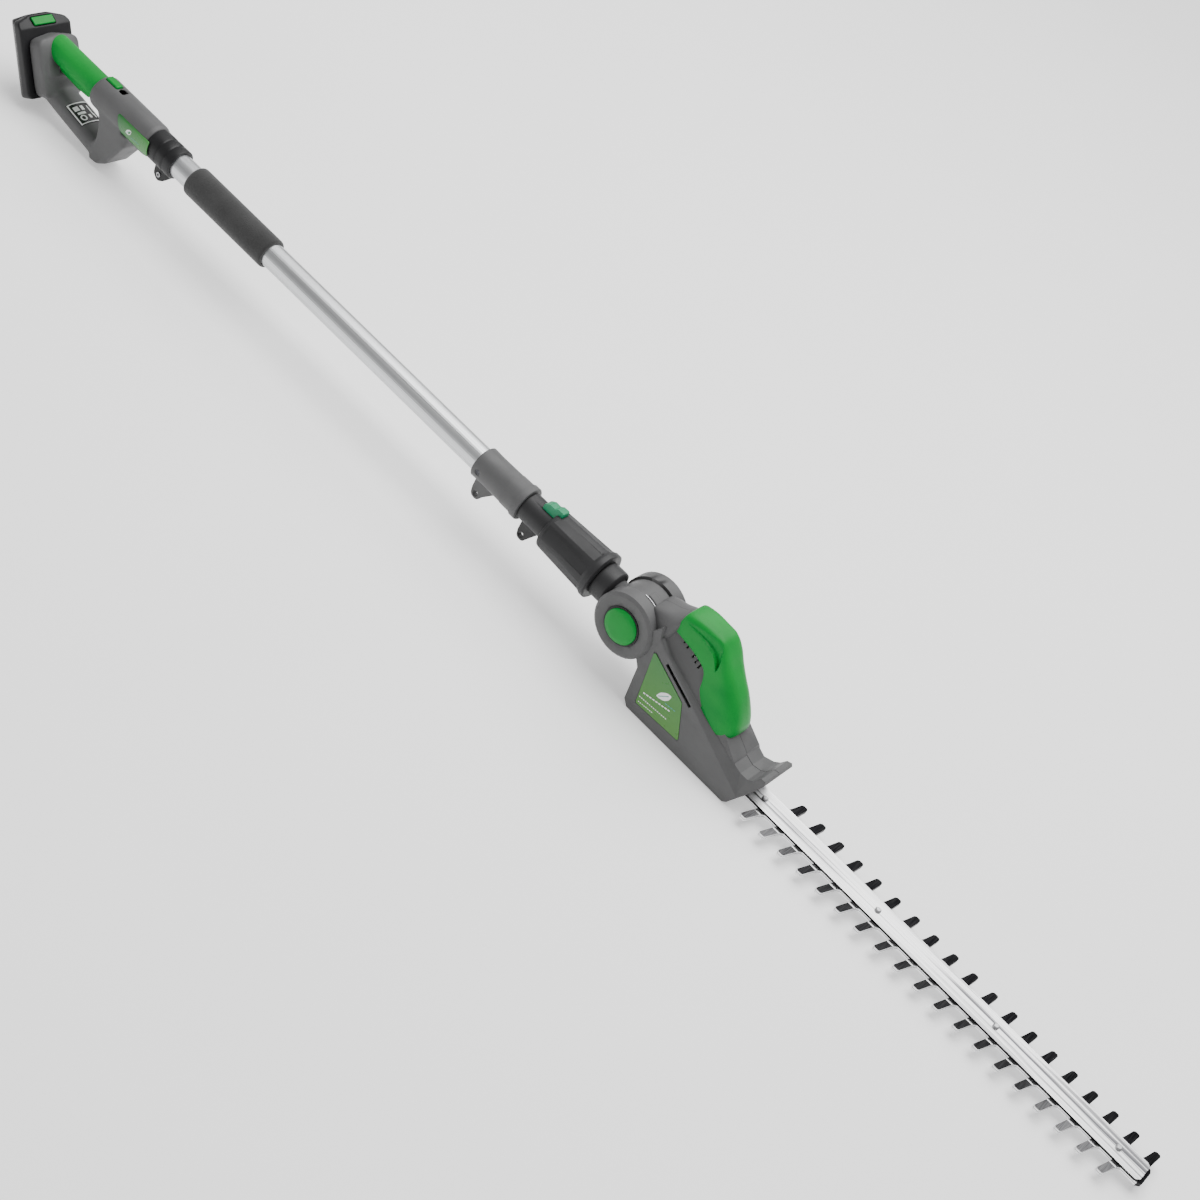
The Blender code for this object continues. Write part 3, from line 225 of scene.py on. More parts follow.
bar_look = brushed("bright_bar", (0.92, 0.92, 0.93), 0.33, scratch=0.000006)
# The darker lengthwise streaks along the bar's middle and toward its tip are painted reflection.
streak = bar_look.noise(1.0, 4, bar_look.stretched(5.0, 260, 260))
middle = bar_look.ramp(bar_look.math("ABSOLUTE", bar_look.axis(1)), 0.0035, 0.0085, 1.0, 0.0)
near_tip = bar_look.ramp(bar_look.axis(0), 0.50, 0.86, 0.12, 0.9)
reflection_streak_area = bar_look.math("MAXIMUM", middle, near_tip)
painted_reflection_streaks = bar_look.math("MULTIPLY", bar_look.ramp(streak, 0.44, 0.56), reflection_streak_area)
bar_look.tint(painted_reflection_streaks, (0.13, 0.13, 0.14))


def side_share(look, low=0.55, high=0.85):
    """1 on the walls of a flat piece and 0 on its faces."""
    true_normal = look.add("ShaderNodeNewGeometry", "True Normal")
    upright = look.add("ShaderNodeSeparateXYZ", 2, {0: true_normal})
    return look.ramp(look.math("ABSOLUTE", upright), low, high, 1.0, 0.0)


# The bar's side walls are painted near-black: painted shade.
bar_look.tint(side_share(bar_look), (0.012, 0.012, 0.013))
bright_bar = bar_look.done()

RIGHT_FLAT, LEFT_FLAT, BLADE_END = 0.0192, 0.0150, 0.8925  # where the ground facets start
BLADE_MIDDLE = 0.60
blade_look = brushed("ground_blade", (0.84, 0.84, 0.85), 0.24, "x", 0.000008)
grind = blade_look.noise(1.0, 3, blade_look.stretched(1100, 40, 200, (0, 0, 0.25)))
from_middle = blade_look.math("ABSOLUTE", blade_look.math("SUBTRACT", blade_look.axis(0), BLADE_MIDDLE))
ends = blade_look.ramp(from_middle, 0.15, 0.21)
ground_share = blade_look.ramp(grind, 0.35, 0.65)
# The ground facets are painted dark: the right ones darkest mid-blade and paler toward both ends, a painted
# reflection, and the left ones near-black, painted shade; the grind noise mixed in is the facets' own grain.
right_dark = blade_look.mix(ground_share, (0.006, 0.006, 0.007, 1), (0.026, 0.026, 0.027, 1))
right_pale = blade_look.mix(ground_share, (0.060, 0.060, 0.062, 1), (0.200, 0.200, 0.205, 1))
right_facet_painted_reflection = blade_look.mix(ends, right_dark, right_pale)
left_share_ground = blade_look.ramp(grind, 0.40, 0.75)
left_facet_painted_shade = blade_look.mix(left_share_ground, (0.002, 0.002, 0.003, 1), (0.020, 0.020, 0.021, 1))
right_share = blade_look.ramp(blade_look.axis(1), -RIGHT_FLAT, -RIGHT_FLAT - 0.0004)
left_share = blade_look.ramp(blade_look.axis(1), LEFT_FLAT, LEFT_FLAT + 0.0004)
end_share = blade_look.ramp(blade_look.axis(0), BLADE_END, BLADE_END + 0.0002)
on_face = blade_look.math("SUBTRACT", 1.0, side_share(blade_look))
right_facet = blade_look.math("MULTIPLY", right_share, on_face)
left_facet = blade_look.math("MAXIMUM", left_share, end_share)
blade_look.paint(blade_look.mix(right_facet, blade_look.colour, right_facet_painted_reflection))
blade_look.paint(blade_look.mix(left_facet, blade_look.colour, left_facet_painted_shade))
ground = blade_look.math("MAXIMUM", blade_look.math("MAXIMUM", right_share, left_share), end_share)
# The blade's sharp edges are painted near-black: painted shade.
blade_look.tint(blade_look.math("MULTIPLY", blade_look.edges(0.0006), 0.9), (0.010, 0.010, 0.011))
blade_look.shine(blade_look.ramp(ground, 0.0, 1.0, 0.22, 0.45))
blade_look.bump(grind, 0.00001, 0.5)
blade_steel = blade_look.done()

plain_steel = brushed("turned_steel", (0.50, 0.50, 0.51), 0.30, "z").done()
dark_steel = brushed("blackened_steel", (0.10, 0.10, 0.11), 0.40, "z").done()
wire_steel = brushed("spring_wire", (0.60, 0.60, 0.62), 0.22, "y").done()
cast_alloy = brushed("cast_alloy", (0.40, 0.40, 0.41), 0.5, "z", 0.00005).done()
gear_steel = brushed("oiled_gear", (0.30, 0.29, 0.28), 0.3, "z").done()
cell_film = moulded("cell_film", (0.02, 0.10, 0.32), 0.35).done()
board_green = moulded("circuit_board", (0.015, 0.12, 0.05), 0.4).done()
sheath = moulded("cable_sheath", (0.018, 0.018, 0.018), 0.5).done()


def label_look(name, low, high, axis, start, end):
    """A printed film, its green shaded from one side to the other."""
    look = Look(name, low, 0.30, coat_weight=0.35, coat_roughness=0.15)
    share = look.ramp(look.axis(axis), start, end)
    look.paint(look.mix(share, (*low, 1), (*high, 1)))
    look.tint(look.ramp(look.noise(70, 4), 0.45, 0.75, 0.0, 0.2), shade(high, 1.15))
    look.shine(look.ramp(look.noise(120, 3), 0.3, 0.7, 0.26, 0.36))
    look.bump(look.noise(500, 2), 0.00001, 0.4)
    return look.done()


head_label = label_look("head_label_film", (0.022, 0.17, 0.020), (0.060, 0.22, 0.026), 2, 0.075, 0.018)
side_label = label_look("side_label_film", (0.010, 0.13, 0.022), (0.055, 0.25, 0.050), 0, -0.700, -0.652)
white_print = label_look("white_print", (0.78, 0.80, 0.78), (0.86, 0.87, 0.86), 0, -1, 1)
teal_print = label_look("teal_print", (0.05, 0.30, 0.22), (0.07, 0.34, 0.26), 0, -1, 1)


def block_share(look, centre, half, soft=0.00012):
    """1 inside a rectangle seen from above and 0 outside it."""
    sides = []
    for index in range(2):
        away = look.math("ABSOLUTE", look.math("SUBTRACT", look.axis(index), centre[index]))
        sides.append(look.ramp(away, half[index] - soft, half[index] + soft, 1.0, 0.0))
    return look.math("MULTIPLY", *sides)


def ring_share(look, centre, radius, half_width):
    """1 on a ring seen from above."""
    away = [look.math("SUBTRACT", look.axis(i), centre[i]) for i in range(2)]
    squares = [look.math("MULTIPLY", a, a) for a in away]
    reach = look.math("SQRT", look.math("ADD", *squares))
    off_line = look.math("ABSOLUTE", look.math("SUBTRACT", reach, radius))
    return look.ramp(off_line, half_width, half_width + 0.0002, 1.0, 0.0)


(SX0, SY0, _), (SX1, SY1, _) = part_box("rating_sticker")
SX, SY, HX, HY = (SX0 + SX1) / 2, (SY0 + SY1) / 2, (SX1 - SX0) / 2, (SY1 - SY0) / 2
sticker_look = Look("sticker_print", (0.010, 0.010, 0.010), 0.32)
BORDER, BORDER_WIDTH = 0.95, 0.0014
outer = block_share(sticker_look, (SX, SY), (HX * BORDER, HY * BORDER))
inner = block_share(sticker_look, (SX, SY), (HX * BORDER - BORDER_WIDTH, HY * BORDER - BORDER_WIDTH))
ring_print = ring_share(sticker_look, (SX + HX * 0.45, SY - HY * 0.42), 0.0034, 0.0008)
prints = [sticker_look.math("SUBTRACT", outer, inner), ring_print]
STICKER_BLOCKS = [  # centre x, y and half size x, y, as shares of the sticker's own half size
    (-0.42, -0.48, 0.20, 0.22), (-0.42, 0.05, 0.20, 0.13), (0.02, -0.30, 0.10, 0.34),
    (-0.10, 0.55, 0.46, 0.045), (0.42, 0.20, 0.16, 0.10), (0.42, 0.62, 0.20, 0.05),
]
for cx, cy, hx, hy in STICKER_BLOCKS:
    prints.append(block_share(sticker_look, (SX + HX * cx, SY + HY * cy), (HX * hx, HY * hy)))
share = prints[0]
for extra_print in prints[1:]:
    share = sticker_look.math("MAXIMUM", share, extra_print)
sticker_look.tint(sticker_look.ramp(sticker_look.noise(90, 3), 0.4, 0.7, 0.0, 0.5), (0.018, 0.018, 0.018))
sticker_look.tint(share, (0.78, 0.78, 0.78))
sticker_look.bump(sticker_look.noise(500, 2), 0.00001, 0.4)
sticker_film = sticker_look.done()

MATERIAL_OF = {
    "grey_housing": grey_plastic, "green_soft_grip": green_rubber, "green_parts": green_plastic,
    "green_gloss": green_plastic, "label_film": head_label, "sticker_film": sticker_film,
    "black_housing": black_plastic, "foam": foam, "tube": satin_alu, "pin_steel": plain_steel,
    "spring_steel": wire_steel, "motor_steel": plain_steel, "gear_steel": gear_steel,
    "cast_alloy": cast_alloy, "blade_steel": blade_steel, "bar_steel": bright_bar,
    "cell_can": cell_film, "circuit_board": board_green, "cable_sheath": sheath,
}


# ---------------------------------------------------------------- pieces
VOXEL = 0.0011
FINISHING_PASSES = 3
WELD = 3e-6
FLAT_SHARP = 20


def to_object(name, mesh, material):
    obj = bpy.data.objects.new(name, mesh)
    bpy.context.scene.collection.objects.link(obj)
    mesh.materials.clear()
    mesh.materials.append(material)
    return obj


def smooth(mesh, degrees=34):
    mesh.shade_smooth()
    mesh.set_sharp_from_angle(angle=math.radians(degrees))


def stand_for(obj, *nodes):
    """obj is shown in place of these nodes, on their body."""
    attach(obj, BODY_OF[nodes[0]])
    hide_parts(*nodes)
    return obj


def welded(nodes):
    bm = bmesh.new()
    for name in nodes:
        bm.from_mesh(NODES[name].data)
    bmesh.ops.remove_doubles(bm, verts=bm.verts, dist=WELD)
    return bm


def skin(node, material, degrees=34):
    """A node's own surface, its facets shaded as the curves they stand for."""
    bm = welded([node])
    mesh = bpy.data.meshes.new(node + "_skin")
    bm.to_mesh(mesh)
    bm.free()
    smooth(mesh, degrees)
    obj = to_object(node + "_skin", mesh, material)
    obj.modifiers.new("even normals", "WEIGHTED_NORMAL").keep_sharp = True
    return stand_for(obj, node)


def evaluated(obj):
    graph = bpy.context.evaluated_depsgraph_get()
    return bpy.data.meshes.new_from_object(obj.evaluated_get(graph))


def relax(mesh, passes, weight=None, keep_size=False):
    """Smooths a mesh by moving each point towards its neighbours' middle."""
    n = len(mesh.vertices)
    co = np.empty(n * 3)
    mesh.vertices.foreach_get("co", co)
    co = co.reshape(-1, 3)
    ends = np.empty(len(mesh.edges) * 2, np.int64)
    mesh.edges.foreach_get("vertices", ends)
    a, b = ends.reshape(-1, 2).T
    count = np.bincount(ends, minlength=n)[:, None]
    weight = np.ones(n) if weight is None else weight(co)
    for _ in range(passes):
        for factor in ((0.6, -0.62) if keep_size else (0.6,)):
            sums = [np.bincount(a, co[b, k], n) + np.bincount(b, co[a, k], n) for k in range(3)]
            total = np.stack(sums, axis=1)
            co += factor * weight[:, None] * (total / count - co)
    mesh.vertices.foreach_set("co", co.astype(np.float32).ravel())
    mesh.update()


def moulding(name, nodes, passes, material, keep, weight=None):
    """One smooth skin over several nodes, blended where they meet; keep is the share of triangles left."""
    bm = welded(nodes)
    mesh = bpy.data.meshes.new(name)
    bm.to_mesh(mesh)
    bm.free()
    obj = to_object(name, mesh, material)
    remesh = obj.modifiers.new("blend", "REMESH")
    remesh.mode = "VOXEL"
    remesh.voxel_size = VOXEL
    blended = evaluated(obj)
    obj.modifiers.clear()
    obj.data = blended
    relax(blended, passes, weight)
    relax(blended, FINISHING_PASSES, keep_size=True)
    thin = obj.modifiers.new("thin", "DECIMATE")
    thin.ratio = keep
    result = evaluated(obj)
    obj.modifiers.clear()
    obj.data = result
    result.materials.clear()
    result.materials.append(material)
    result.shade_smooth()
    return obj


def halves(obj, right_name, left_name, right_node, left_node):
    """Cuts a skin along the middle plane, as the mould's two halves meet there."""
    for name, node, side in ((right_name, right_node, -1), (left_name, left_node, 1)):
        bm = bmesh.new()
        bm.from_mesh(obj.data)
        everything = bm.verts[:] + bm.edges[:] + bm.faces[:]
        middle_plane = {"plane_co": (0, 0, 0), "plane_no": (0, -side, 0)}
        bmesh.ops.bisect_plane(bm, geom=everything, clear_outer=True, **middle_plane)
        mesh = bpy.data.meshes.new(name)
        bm.to_mesh(mesh)
        bm.free()
        mesh.shade_smooth()
        stand_for(to_object(name, mesh, obj.data.materials[0]), node)
    bpy.data.objects.remove(obj)


def prism(name, outline, y0, y1):
    """A closed prism across the tool, from an outline of (x, z) in millimetres from the pivot."""
    bm = bmesh.new()
    near = [bm.verts.new(at(x, y0, z)) for x, z in outline]
    far = [bm.verts.new(at(x, y1, z)) for x, z in outline]
    bm.faces.new(near)
    bm.faces.new(far[::-1])
    for i in range(len(outline)):
        j = (i + 1) % len(outline)
        bm.faces.new((near[j], near[i], far[i], far[j]))
    bmesh.ops.recalc_face_normals(bm, faces=bm.faces)
    mesh = bpy.data.meshes.new(name)
    bm.to_mesh(mesh)
    bm.free()
    return to_object(name, mesh, grey_plastic)


def lathe(name, profile, material, wobble, steps=96):
    """A slightly uneven ring turned about the pole's line, from a closed profile of (x, radius)."""
    rng = np.random.default_rng(5)
    ripple = rng.normal(0, 1, (len(profile), steps))
    for _ in range(6):
        ripple = (ripple + np.roll(ripple, 1, 1) + np.roll(ripple, -1, 1)) / 3
    points = []
    for i, (x, r) in enumerate(profile):
        for k in range(steps):
            angle = 2 * math.pi * k / steps
            rr = r + wobble * ripple[i, k]
            points.append(at(x, rr * math.cos(angle), rr * math.sin(angle)))
    count = len(profile)
    faces = []
    for i in range(count):
        j = (i + 1) % count
        for k in range(steps):
            m = (k + 1) % steps
            faces.append((i * steps + k, i * steps + m, j * steps + m, j * steps + k))
    mesh = bpy.data.meshes.new(name)
    mesh.from_pydata(points, [], faces)
    bm = bmesh.new()
    bm.from_mesh(mesh)
    bmesh.ops.recalc_face_normals(bm, faces=bm.faces)
    bm.to_mesh(mesh)
    bm.free()
    smooth(mesh, 50)
    return to_object(name, mesh, material)


def fillet(points, radius, steps=6):
    """The same closed outline with its corners rounded, each as far as its sides allow."""
    out = []
    n = len(points)
    for i in range(n):
        p, a, b = Vector(points[i]), Vector(points[i - 1]), Vector(points[(i + 1) % n])
        u, v = (a - p), (b - p)
        reach = min(radius, u.length * 0.48, v.length * 0.48)
        s, e = p + u.normalized() * reach, p + v.normalized() * reach
        for k in range(steps + 1):
            t = k / steps
            out.append(tuple((1 - t) ** 2 * s + 2 * t * (1 - t) * p + t * t * e))
    return out


# ---------------------------------------------------------------- handle
def handle_weight(co):
    """Where the handle's limbs flow into each other, in the shared frame."""
    x, z = (co[:, 0] - PIVOT.x) / MM, (co[:, 2] - PIVOT.z) / MM
    rear = np.exp(-(((x + 972) / 20) ** 2 + ((z + 50) / 17) ** 2))
    foot = np.clip((-x - 975) / 10, 0, 1) * 0.55
    leg = np.exp(-(((x + 893) / 16) ** 2 + ((z + 52) / 14) ** 2)) * 0.9
    root = np.exp(-(((x + 893) / 22) ** 2 + ((z + 20) / 9) ** 2)) * 0.8
    return np.clip(0.05 + np.maximum.reduce([rear, foot, leg, root]), 0, 1)


HANDLE_SHELLS = ["handle_shell_left", "handle_shell_right"]
handle = moulding("handle_skin", HANDLE_SHELLS, 60, grey_plastic, 0.45, handle_weight)
halves(handle, "handle_skin_right", "handle_skin_left", "handle_shell_right", "handle_shell_left")

skin("soft_grip", green_rubber)
skin("trigger", green_plastic)
skin("lock_off_button", green_plastic)
skin("rear_collar", black_plastic)
skin("strap_eyelet", plain_steel)
skin("pole_tube", satin_alu)
skin("front_collar", grey_plastic)
skin("collar_screw", dark_steel)

FOAM = [
    (-736, 15.4), (-736, 17.2), (-735.6, 18.0), (-734.6, 18.6), (-732.5, 18.85), (-700, 18.8),
    (-640, 18.8), (-604.5, 18.85), (-602.4, 18.6), (-601.4, 18.0), (-601, 17.2), (-601, 15.4),
]
foam_sleeve = stand_for(lathe("foam_sleeve", FOAM, foam, 0.05), "foam_grip")

# ---------------------------------------------------------------- battery
for part in ("battery_front", "battery_rear"):
    stand_for(moulding(part + "_skin", [part + "_shell"], 5, black_plastic, 0.6), part + "_shell")
skin("battery_button", green_plastic)

# ---------------------------------------------------------------- attachment and pivot
skin("coupling_plug", dark_plastic)
skin("attachment_barrel", dark_plastic, FLAT_SHARP)
skin("neck", dark_plastic)
skin("latch_button", teal_plastic)
skin("knuckle", grey_plastic)
skin("pivot_button", green_plastic, 60)
skin("pivot_cap", green_plastic, 60)
skin("pivot_button_ring", black_plastic)

# ---------------------------------------------------------------- head
SHARP_HEAD = 27
skin("head_shell_right", head_plastic, SHARP_HEAD)
skin("head_shell_left", head_plastic, SHARP_HEAD)

COVER_STATIONS = [  # low edge (x, z), crown (x, z), half width
    ((46, 40), (47, 56), 15.5), ((48, 42), (50, 61), 19.0), ((60, 41), (64, 64.5), 19.6),
    ((75, 38), (81, 65), 19.2), ((89, 34), (96, 63.5), 19.2), ((99, 29), (108, 53), 20.0),
    ((105, 19), (119, 40.0), 20.6), ((109, 8), (131, 28), 21.4), ((115, -4), (144.5, 14.5), 23.2),
    ((124, -17), (157.5, -4.5), 24.8), ((133, -27), (161.5, -17.5), 25.2), ((143, -33), (157, -27), 22),
]
SCOOP = [(1.3, -74.0), (4.15, -25.0), (5.6, -82.0)]  # corners, as (station, degrees from the crown)
SCOOP_DEPTH, SCOOP_SPAN, SCOOP_STEP = 5.0, 3.0, 0.12
ANGLE_PER_ROW = 14.0


def scoop_depth(rows, angles, corners):
    """A triangular scoop on both flanks: a wall that leans in from the crown's edge, then a step back out."""
    row, angle = np.meshgrid(rows, -np.abs(angles) / ANGLE_PER_ROW, indexing="ij")
    reach = []
    for i in range(3):
        (r0, a0), (r1, a1) = corners[i], corners[(i + 1) % 3]
        dr, da = r1 - r0, (a1 - a0) / ANGLE_PER_ROW
        reach.append((dr * (angle - a0 / ANGLE_PER_ROW) - da * (row - r0)) / math.hypot(dr, da))
    crown, front, low = (-r for r in reach)
    step = np.clip(np.minimum(front, low) / SCOOP_STEP, 0, 1)
    return SCOOP_DEPTH * np.clip(crown / SCOOP_SPAN, 0, 1) * step


BEND = (5, 8)  # the stations between which the arch changes its shape
END_ROUNDING = 0.35  # how far from each end, in stations, the arch draws in
END_HEIGHT, END_WIDTH = 0.80, 0.86  # what is left of the arch's height and width at the ends
SHARP_COVER = 42


def loft(name, stations, material, square, front_square, rows, columns, sink, scoop=None):
    """A rounded housing along a path: each station is an arch from its low edge up to its crown.

    square and front_square shape the arch behind and ahead of the bend, from 1 for an ellipse down
    to 0 for a box. sink is how far its side walls go down, in millimetres.
    """
    data = np.array([[*low, *crown, width] for low, crown, width in stations], float)
    knots = np.arange(len(data))
    spot = np.linspace(0, len(data) - 1, rows)
    base = np.clip(np.floor(spot).astype(int), 0, len(data) - 2)
    t = (spot - base)[:, None]
    tangent = np.gradient(data, knots, axis=0)
    h = (2 * t**3 - 3 * t**2 + 1, t**3 - 2 * t**2 + t, -2 * t**3 + 3 * t**2, t**3 - t**2)
    line = h[0] * data[base] + h[1] * tangent[base] + h[2] * data[base + 1] + h[3] * tangent[base + 1]
    angles = np.linspace(-90, 90, columns)
    rad = np.radians(angles)
    corner = np.interp(spot, BEND, (square, front_square))[:, None]
    across = np.sign(rad)[None, :] * np.abs(np.sin(rad))[None, :] ** corner
    height = np.abs(np.cos(rad))[None, :] ** corner
    grow = np.clip(np.minimum(spot, len(data) - 1 - spot) / END_ROUNDING, 0, 1)[:, None] ** 0.5
    low, crown, width = line[:, 0:2], line[:, 2:4], line[:, 4:5]
    lift = height[:, :, None] * (END_HEIGHT + (1 - END_HEIGHT) * grow[:, :, None])
    xz = low[:, None, :] + (crown - low)[:, None, :] * lift
    y = width * across * (END_WIDTH + (1 - END_WIDTH) * grow)
    points = np.stack([xz[..., 0], y, xz[..., 1]], axis=-1)
    if scoop:
        du = np.gradient(points, axis=0)
        dv = np.gradient(points, axis=1)
        normal = np.cross(du, dv)
        normal /= np.maximum(np.linalg.norm(normal, axis=-1, keepdims=True), 1e-9)
        outward = np.sign((normal * (points - points.mean(axis=(0, 1)))).sum(axis=-1).mean())
        points = points - outward * normal * scoop_depth(spot, angles, scoop)[..., None]
    down = (low - crown) / np.linalg.norm(low - crown, axis=1, keepdims=True) * sink
    for column, place in ((0, 0), (-1, points.shape[1] + 1)):
        wall = points[:, column, :] + np.stack([down[:, 0], 0 * down[:, 0], down[:, 1]], axis=1)
        points = np.insert(points, place, wall, axis=1)
    count, wide = points.shape[:2]
    flat = [at(*p) for p in points.reshape(-1, 3)]
    faces = []
    for i in range(count - 1):
        for k in range(wide):
            m = (k + 1) % wide
            faces.append((i * wide + k, i * wide + m, (i + 1) * wide + m, (i + 1) * wide + k))
    faces.append(tuple(range(wide)))
    faces.append(tuple(range((count - 1) * wide, count * wide))[::-1])
    mesh = bpy.data.meshes.new(name)
    mesh.from_pydata(flat, [], faces)
    bm = bmesh.new()
    bm.from_mesh(mesh)
    bmesh.ops.recalc_face_normals(bm, faces=bm.faces)
    bm.to_mesh(mesh)
    bm.free()
    smooth(mesh, SHARP_COVER)
    return to_object(name, mesh, material)


cover = loft("top_cover_skin", COVER_STATIONS, green_plastic, 0.46, 0.66, 150, 110, 7.0, SCOOP)
stand_for(cover, "top_cover")

SHOULDER_STATIONS = [
    ((12.0, 34.3), (13, 37.5), 15.5), ((15.5, 33.2), (17, 40), 18.5), ((22.5, 29.0), (24, 43), 21),
    ((30, 21.5), (34, 46.5), 23.5), ((36.5, 9.5), (43, 51.5), 26.5), ((46, 12), (53, 57), 23),
]
shoulder = loft("head_shoulder", SHOULDER_STATIONS, head_plastic, 0.7, 0.7, 50, 48, 0.2)
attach(shoulder, "head")


def arc(radius, start, end, steps=10):
    """Points (x, z) on an arc about the pivot, its angles in degrees from straight ahead."""
    turns = [math.radians(start + (end - start) * i / steps) for i in range(steps + 1)]
    return [(radius * math.cos(a), radius * math.sin(a)) for a in turns]


TONGUE_INNER, TONGUE_OUTER, WIRE_LINE = 35.9, 40.2, 37.9  # radii about the pivot, outside the knuckle
tongue = prism("joint_tongue", arc(TONGUE_OUTER, 58, 88) + arc(TONGUE_INNER, 90, 58), -14.4, -3.6)
soften = tongue.modifiers.new("soft edges", "BEVEL")
soften.width, soften.segments, soften.limit_method = 0.0012, 3, "ANGLE"
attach(tongue, "head")


def wire(name, points, radius, material):
    """A round wire along a line of points in millimetres from the pivot."""
    curve = bpy.data.curves.new(name, "CURVE")
    curve.dimensions = "3D"
    curve.bevel_depth, curve.bevel_resolution = radius * MM, 3
    curve.use_fill_caps = True
    spline = curve.splines.new("POLY")
    spline.points.add(len(points) - 1)
    for slot_point, place in zip(spline.points, points):
        slot_point.co = (*at(*place), 1)
    temporary = bpy.data.objects.new(name, curve)
    bpy.context.scene.collection.objects.link(temporary)
    mesh = evaluated(temporary)
    bpy.data.objects.remove(temporary)
    mesh.shade_smooth()
    return to_object(name, mesh, material)


wire_path = [(x, -15.4, z) for x, z in arc(WIRE_LINE, 60, 92, 12)]
spring_wire = wire("joint_spring_wire", wire_path, 0.8, wire_steel)
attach(spring_wire, "head")

# ---------------------------------------------------------------- blade
skin("upper_blade", blade_steel, FLAT_SHARP)
skin("lower_blade", blade_steel, FLAT_SHARP)
skin("guide_bar", bright_bar, FLAT_SHARP)

for name, obj in NODES.items():
    if not obj.hide_render:
        obj.data.materials.clear()
        obj.data.materials.append(MATERIAL_OF[SLOT_OF[name]])
NODES["handle_side_label"].data.materials[0] = side_label

# ---------------------------------------------------------------- printed marks
def flat_mark(name, shapes, y, material, body, wrap=None):
    """Printed shapes on the tool's right side, flat or round a barrel, from outlines of (x, z)."""
    bm = bmesh.new()
    for outline in shapes:
        bm.faces.new([bm.verts.new(at(x, -math.sqrt(wrap**2 - z * z) if wrap else y, z)) for x, z in outline])
    bmesh.ops.recalc_face_normals(bm, faces=bm.faces)
    for face in bm.faces:
        if face.normal.y > 0:
            face.normal_flip()
    mesh = bpy.data.meshes.new(name)
    bm.to_mesh(mesh)
    bm.free()
    obj = to_object(name, mesh, material)
    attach(obj, body)
    return obj


def stroke(a, b, thick):
    """A bar between two points, as an outline."""
    a, b = Vector(a), Vector(b)
    side = (b - a).normalized()
    side = Vector((-side.y, side.x)) * thick / 2
    return [tuple(a + side), tuple(b + side), tuple(b - side), tuple(a - side)]


def dashes(a, b, thick, count, fill=0.72):
    a, b = Vector(a), Vector(b)
    return [stroke(a.lerp(b, i / count), a.lerp(b, (i + fill) / count), thick) for i in range(count)]


LABEL_FACE = -30.22
INK = 0.05
BARREL_REACH = max(-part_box("handle_side_label")[0][1] / MM, 12) + 0.12
marks = dashes((57.8, -48.3), (94.1, -40.7), 1.5, 9) + dashes((56, -55.8), (95.4, -52.3), 1.1, 14, 0.66)
marks += dashes((57.8, -62), (78.8, -59.7), 1.0, 8, 0.66)
leaf = [(71, -38.5), (73.5, -31), (79.5, -25.5), (86.5, -24), (86, -31), (81.5, -36.5), (74.5, -38.8)]
flat_mark("label_lines", marks + [fillet(leaf, 2.5)], LABEL_FACE, white_print, "head")
small_leaf = [(-837.5, -3.4), (-836.2, 1.0), (-832.5, 3.6), (-828.6, 3.4), (-828.8, -0.8), (-832.0, -3.6)]
flat_mark("handle_leaf", [fillet(small_leaf, 1.6)], 0, white_print, "root", wrap=BARREL_REACH)
small_vein = [stroke((-836, -2.2), (-830.5, 2.2), 0.8)] + dashes((-827, -3.4), (-812, -3.0), 1.0, 5)
flat_mark("handle_vein", small_vein, 0, teal_print, "root", wrap=BARREL_REACH + INK)
vein = [stroke((73.5, -36.8), (83.5, -27.2), 1.0)] + dashes((84, -37.5), (99, -35.5), 1.2, 4)
flat_mark("label_vein", vein, LABEL_FACE - INK, teal_print, "head")

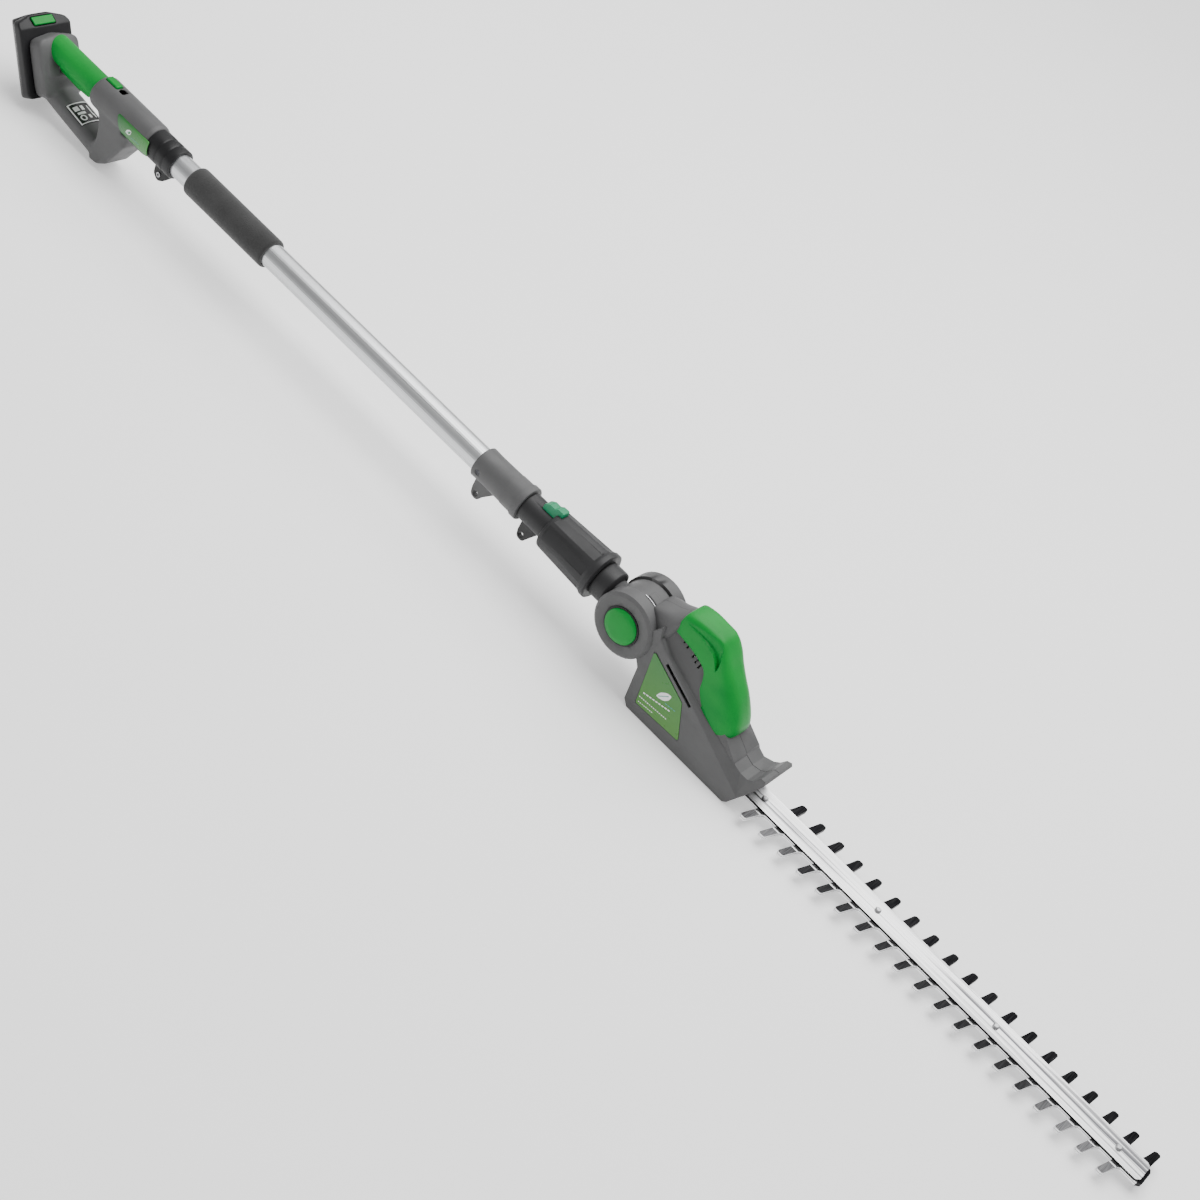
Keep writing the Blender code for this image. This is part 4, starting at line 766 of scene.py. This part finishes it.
# ---------------------------------------------------------------- floor, light and camera
FLOOR_SIZE, FLOOR_DROP = 12, 0.0006
AMBIENT = 0.45  # the strength of the world's light and of the floor's own
bpy.ops.mesh.primitive_plane_add(size=FLOOR_SIZE, location=(0, 0, -FLOOR_DROP))
floor = bpy.context.object
floor.name = "studio_floor"
floor_look = Look("pale_floor", (0.86, 0.86, 0.86), 0.7)
floor_share = floor_look.ramp(floor_look.noise(3, 2), 0.3, 0.7)
floor_look.paint(floor_look.mix(floor_share, (0.85, 0.85, 0.85, 1), (0.87, 0.87, 0.87, 1)))
floor_look.set(floor_look.shader, "Emission Color", (1, 1, 1, 1))
floor_look.set(floor_look.shader, "Emission Strength", AMBIENT)
floor.data.materials.append(floor_look.done())

world = bpy.data.worlds.new("soft studio")
bpy.context.scene.world = world
world.use_nodes = True
background = world.node_tree.nodes["Background"]
background.inputs["Color"].default_value = (1, 1, 1, 1)
background.inputs["Strength"].default_value = AMBIENT


def softbox(name, where, aim, size, watts):
    data = bpy.data.lights.new(name, "AREA")
    data.shape = "RECTANGLE"
    data.size, data.size_y = size
    data.energy = watts
    lamp = bpy.data.objects.new(name, data)
    bpy.context.scene.collection.objects.link(lamp)
    lamp.location = where
    lamp.rotation_mode = "QUATERNION"
    lamp.rotation_quaternion = (Vector(aim) - Vector(where)).to_track_quat("-Z", "Y")


TOP_WATTS, REAR_WATTS = 115, 60
softbox("top_panel", (0.0, 0.45, 2.6), (0, 0, 0.05), (3.2, 2.0), TOP_WATTS)
softbox("rear_panel", (-0.5, 2.7, 2.5), (0.1, 0, 0.05), (3.6, 1.6), REAR_WATTS)

# Azimuth, elevation and roll in degrees, distance in metres, lens in millimetres.
AZIMUTH, ELEVATION, ROLL, DISTANCE = 20.98, 39.77, 30.65, 2.226
SENSOR, LENS = 36.0, 62.925
az, el, roll = (math.radians(a) for a in (AZIMUTH, ELEVATION, ROLL))
back = Vector((math.cos(el) * math.sin(az), -math.cos(el) * math.cos(az), math.sin(el)))
level = Vector((math.cos(az), math.sin(az), 0))
rise = back.cross(level)
right = level * math.cos(roll) + rise * math.sin(roll)
up = rise * math.cos(roll) - level * math.sin(roll)
camera_data = bpy.data.cameras.new("camera")
camera_data.sensor_width, camera_data.lens = SENSOR, LENS
camera_data.clip_start, camera_data.clip_end = 0.05, 60
camera = bpy.data.objects.new("camera", camera_data)
bpy.context.scene.collection.objects.link(camera)
place = at(-48.2, 0, -25.1) + back * DISTANCE
camera.matrix_world = Matrix([[right[i], up[i], back[i], place[i]] for i in range(3)] + [[0, 0, 0, 1]])
bpy.context.scene.camera = camera
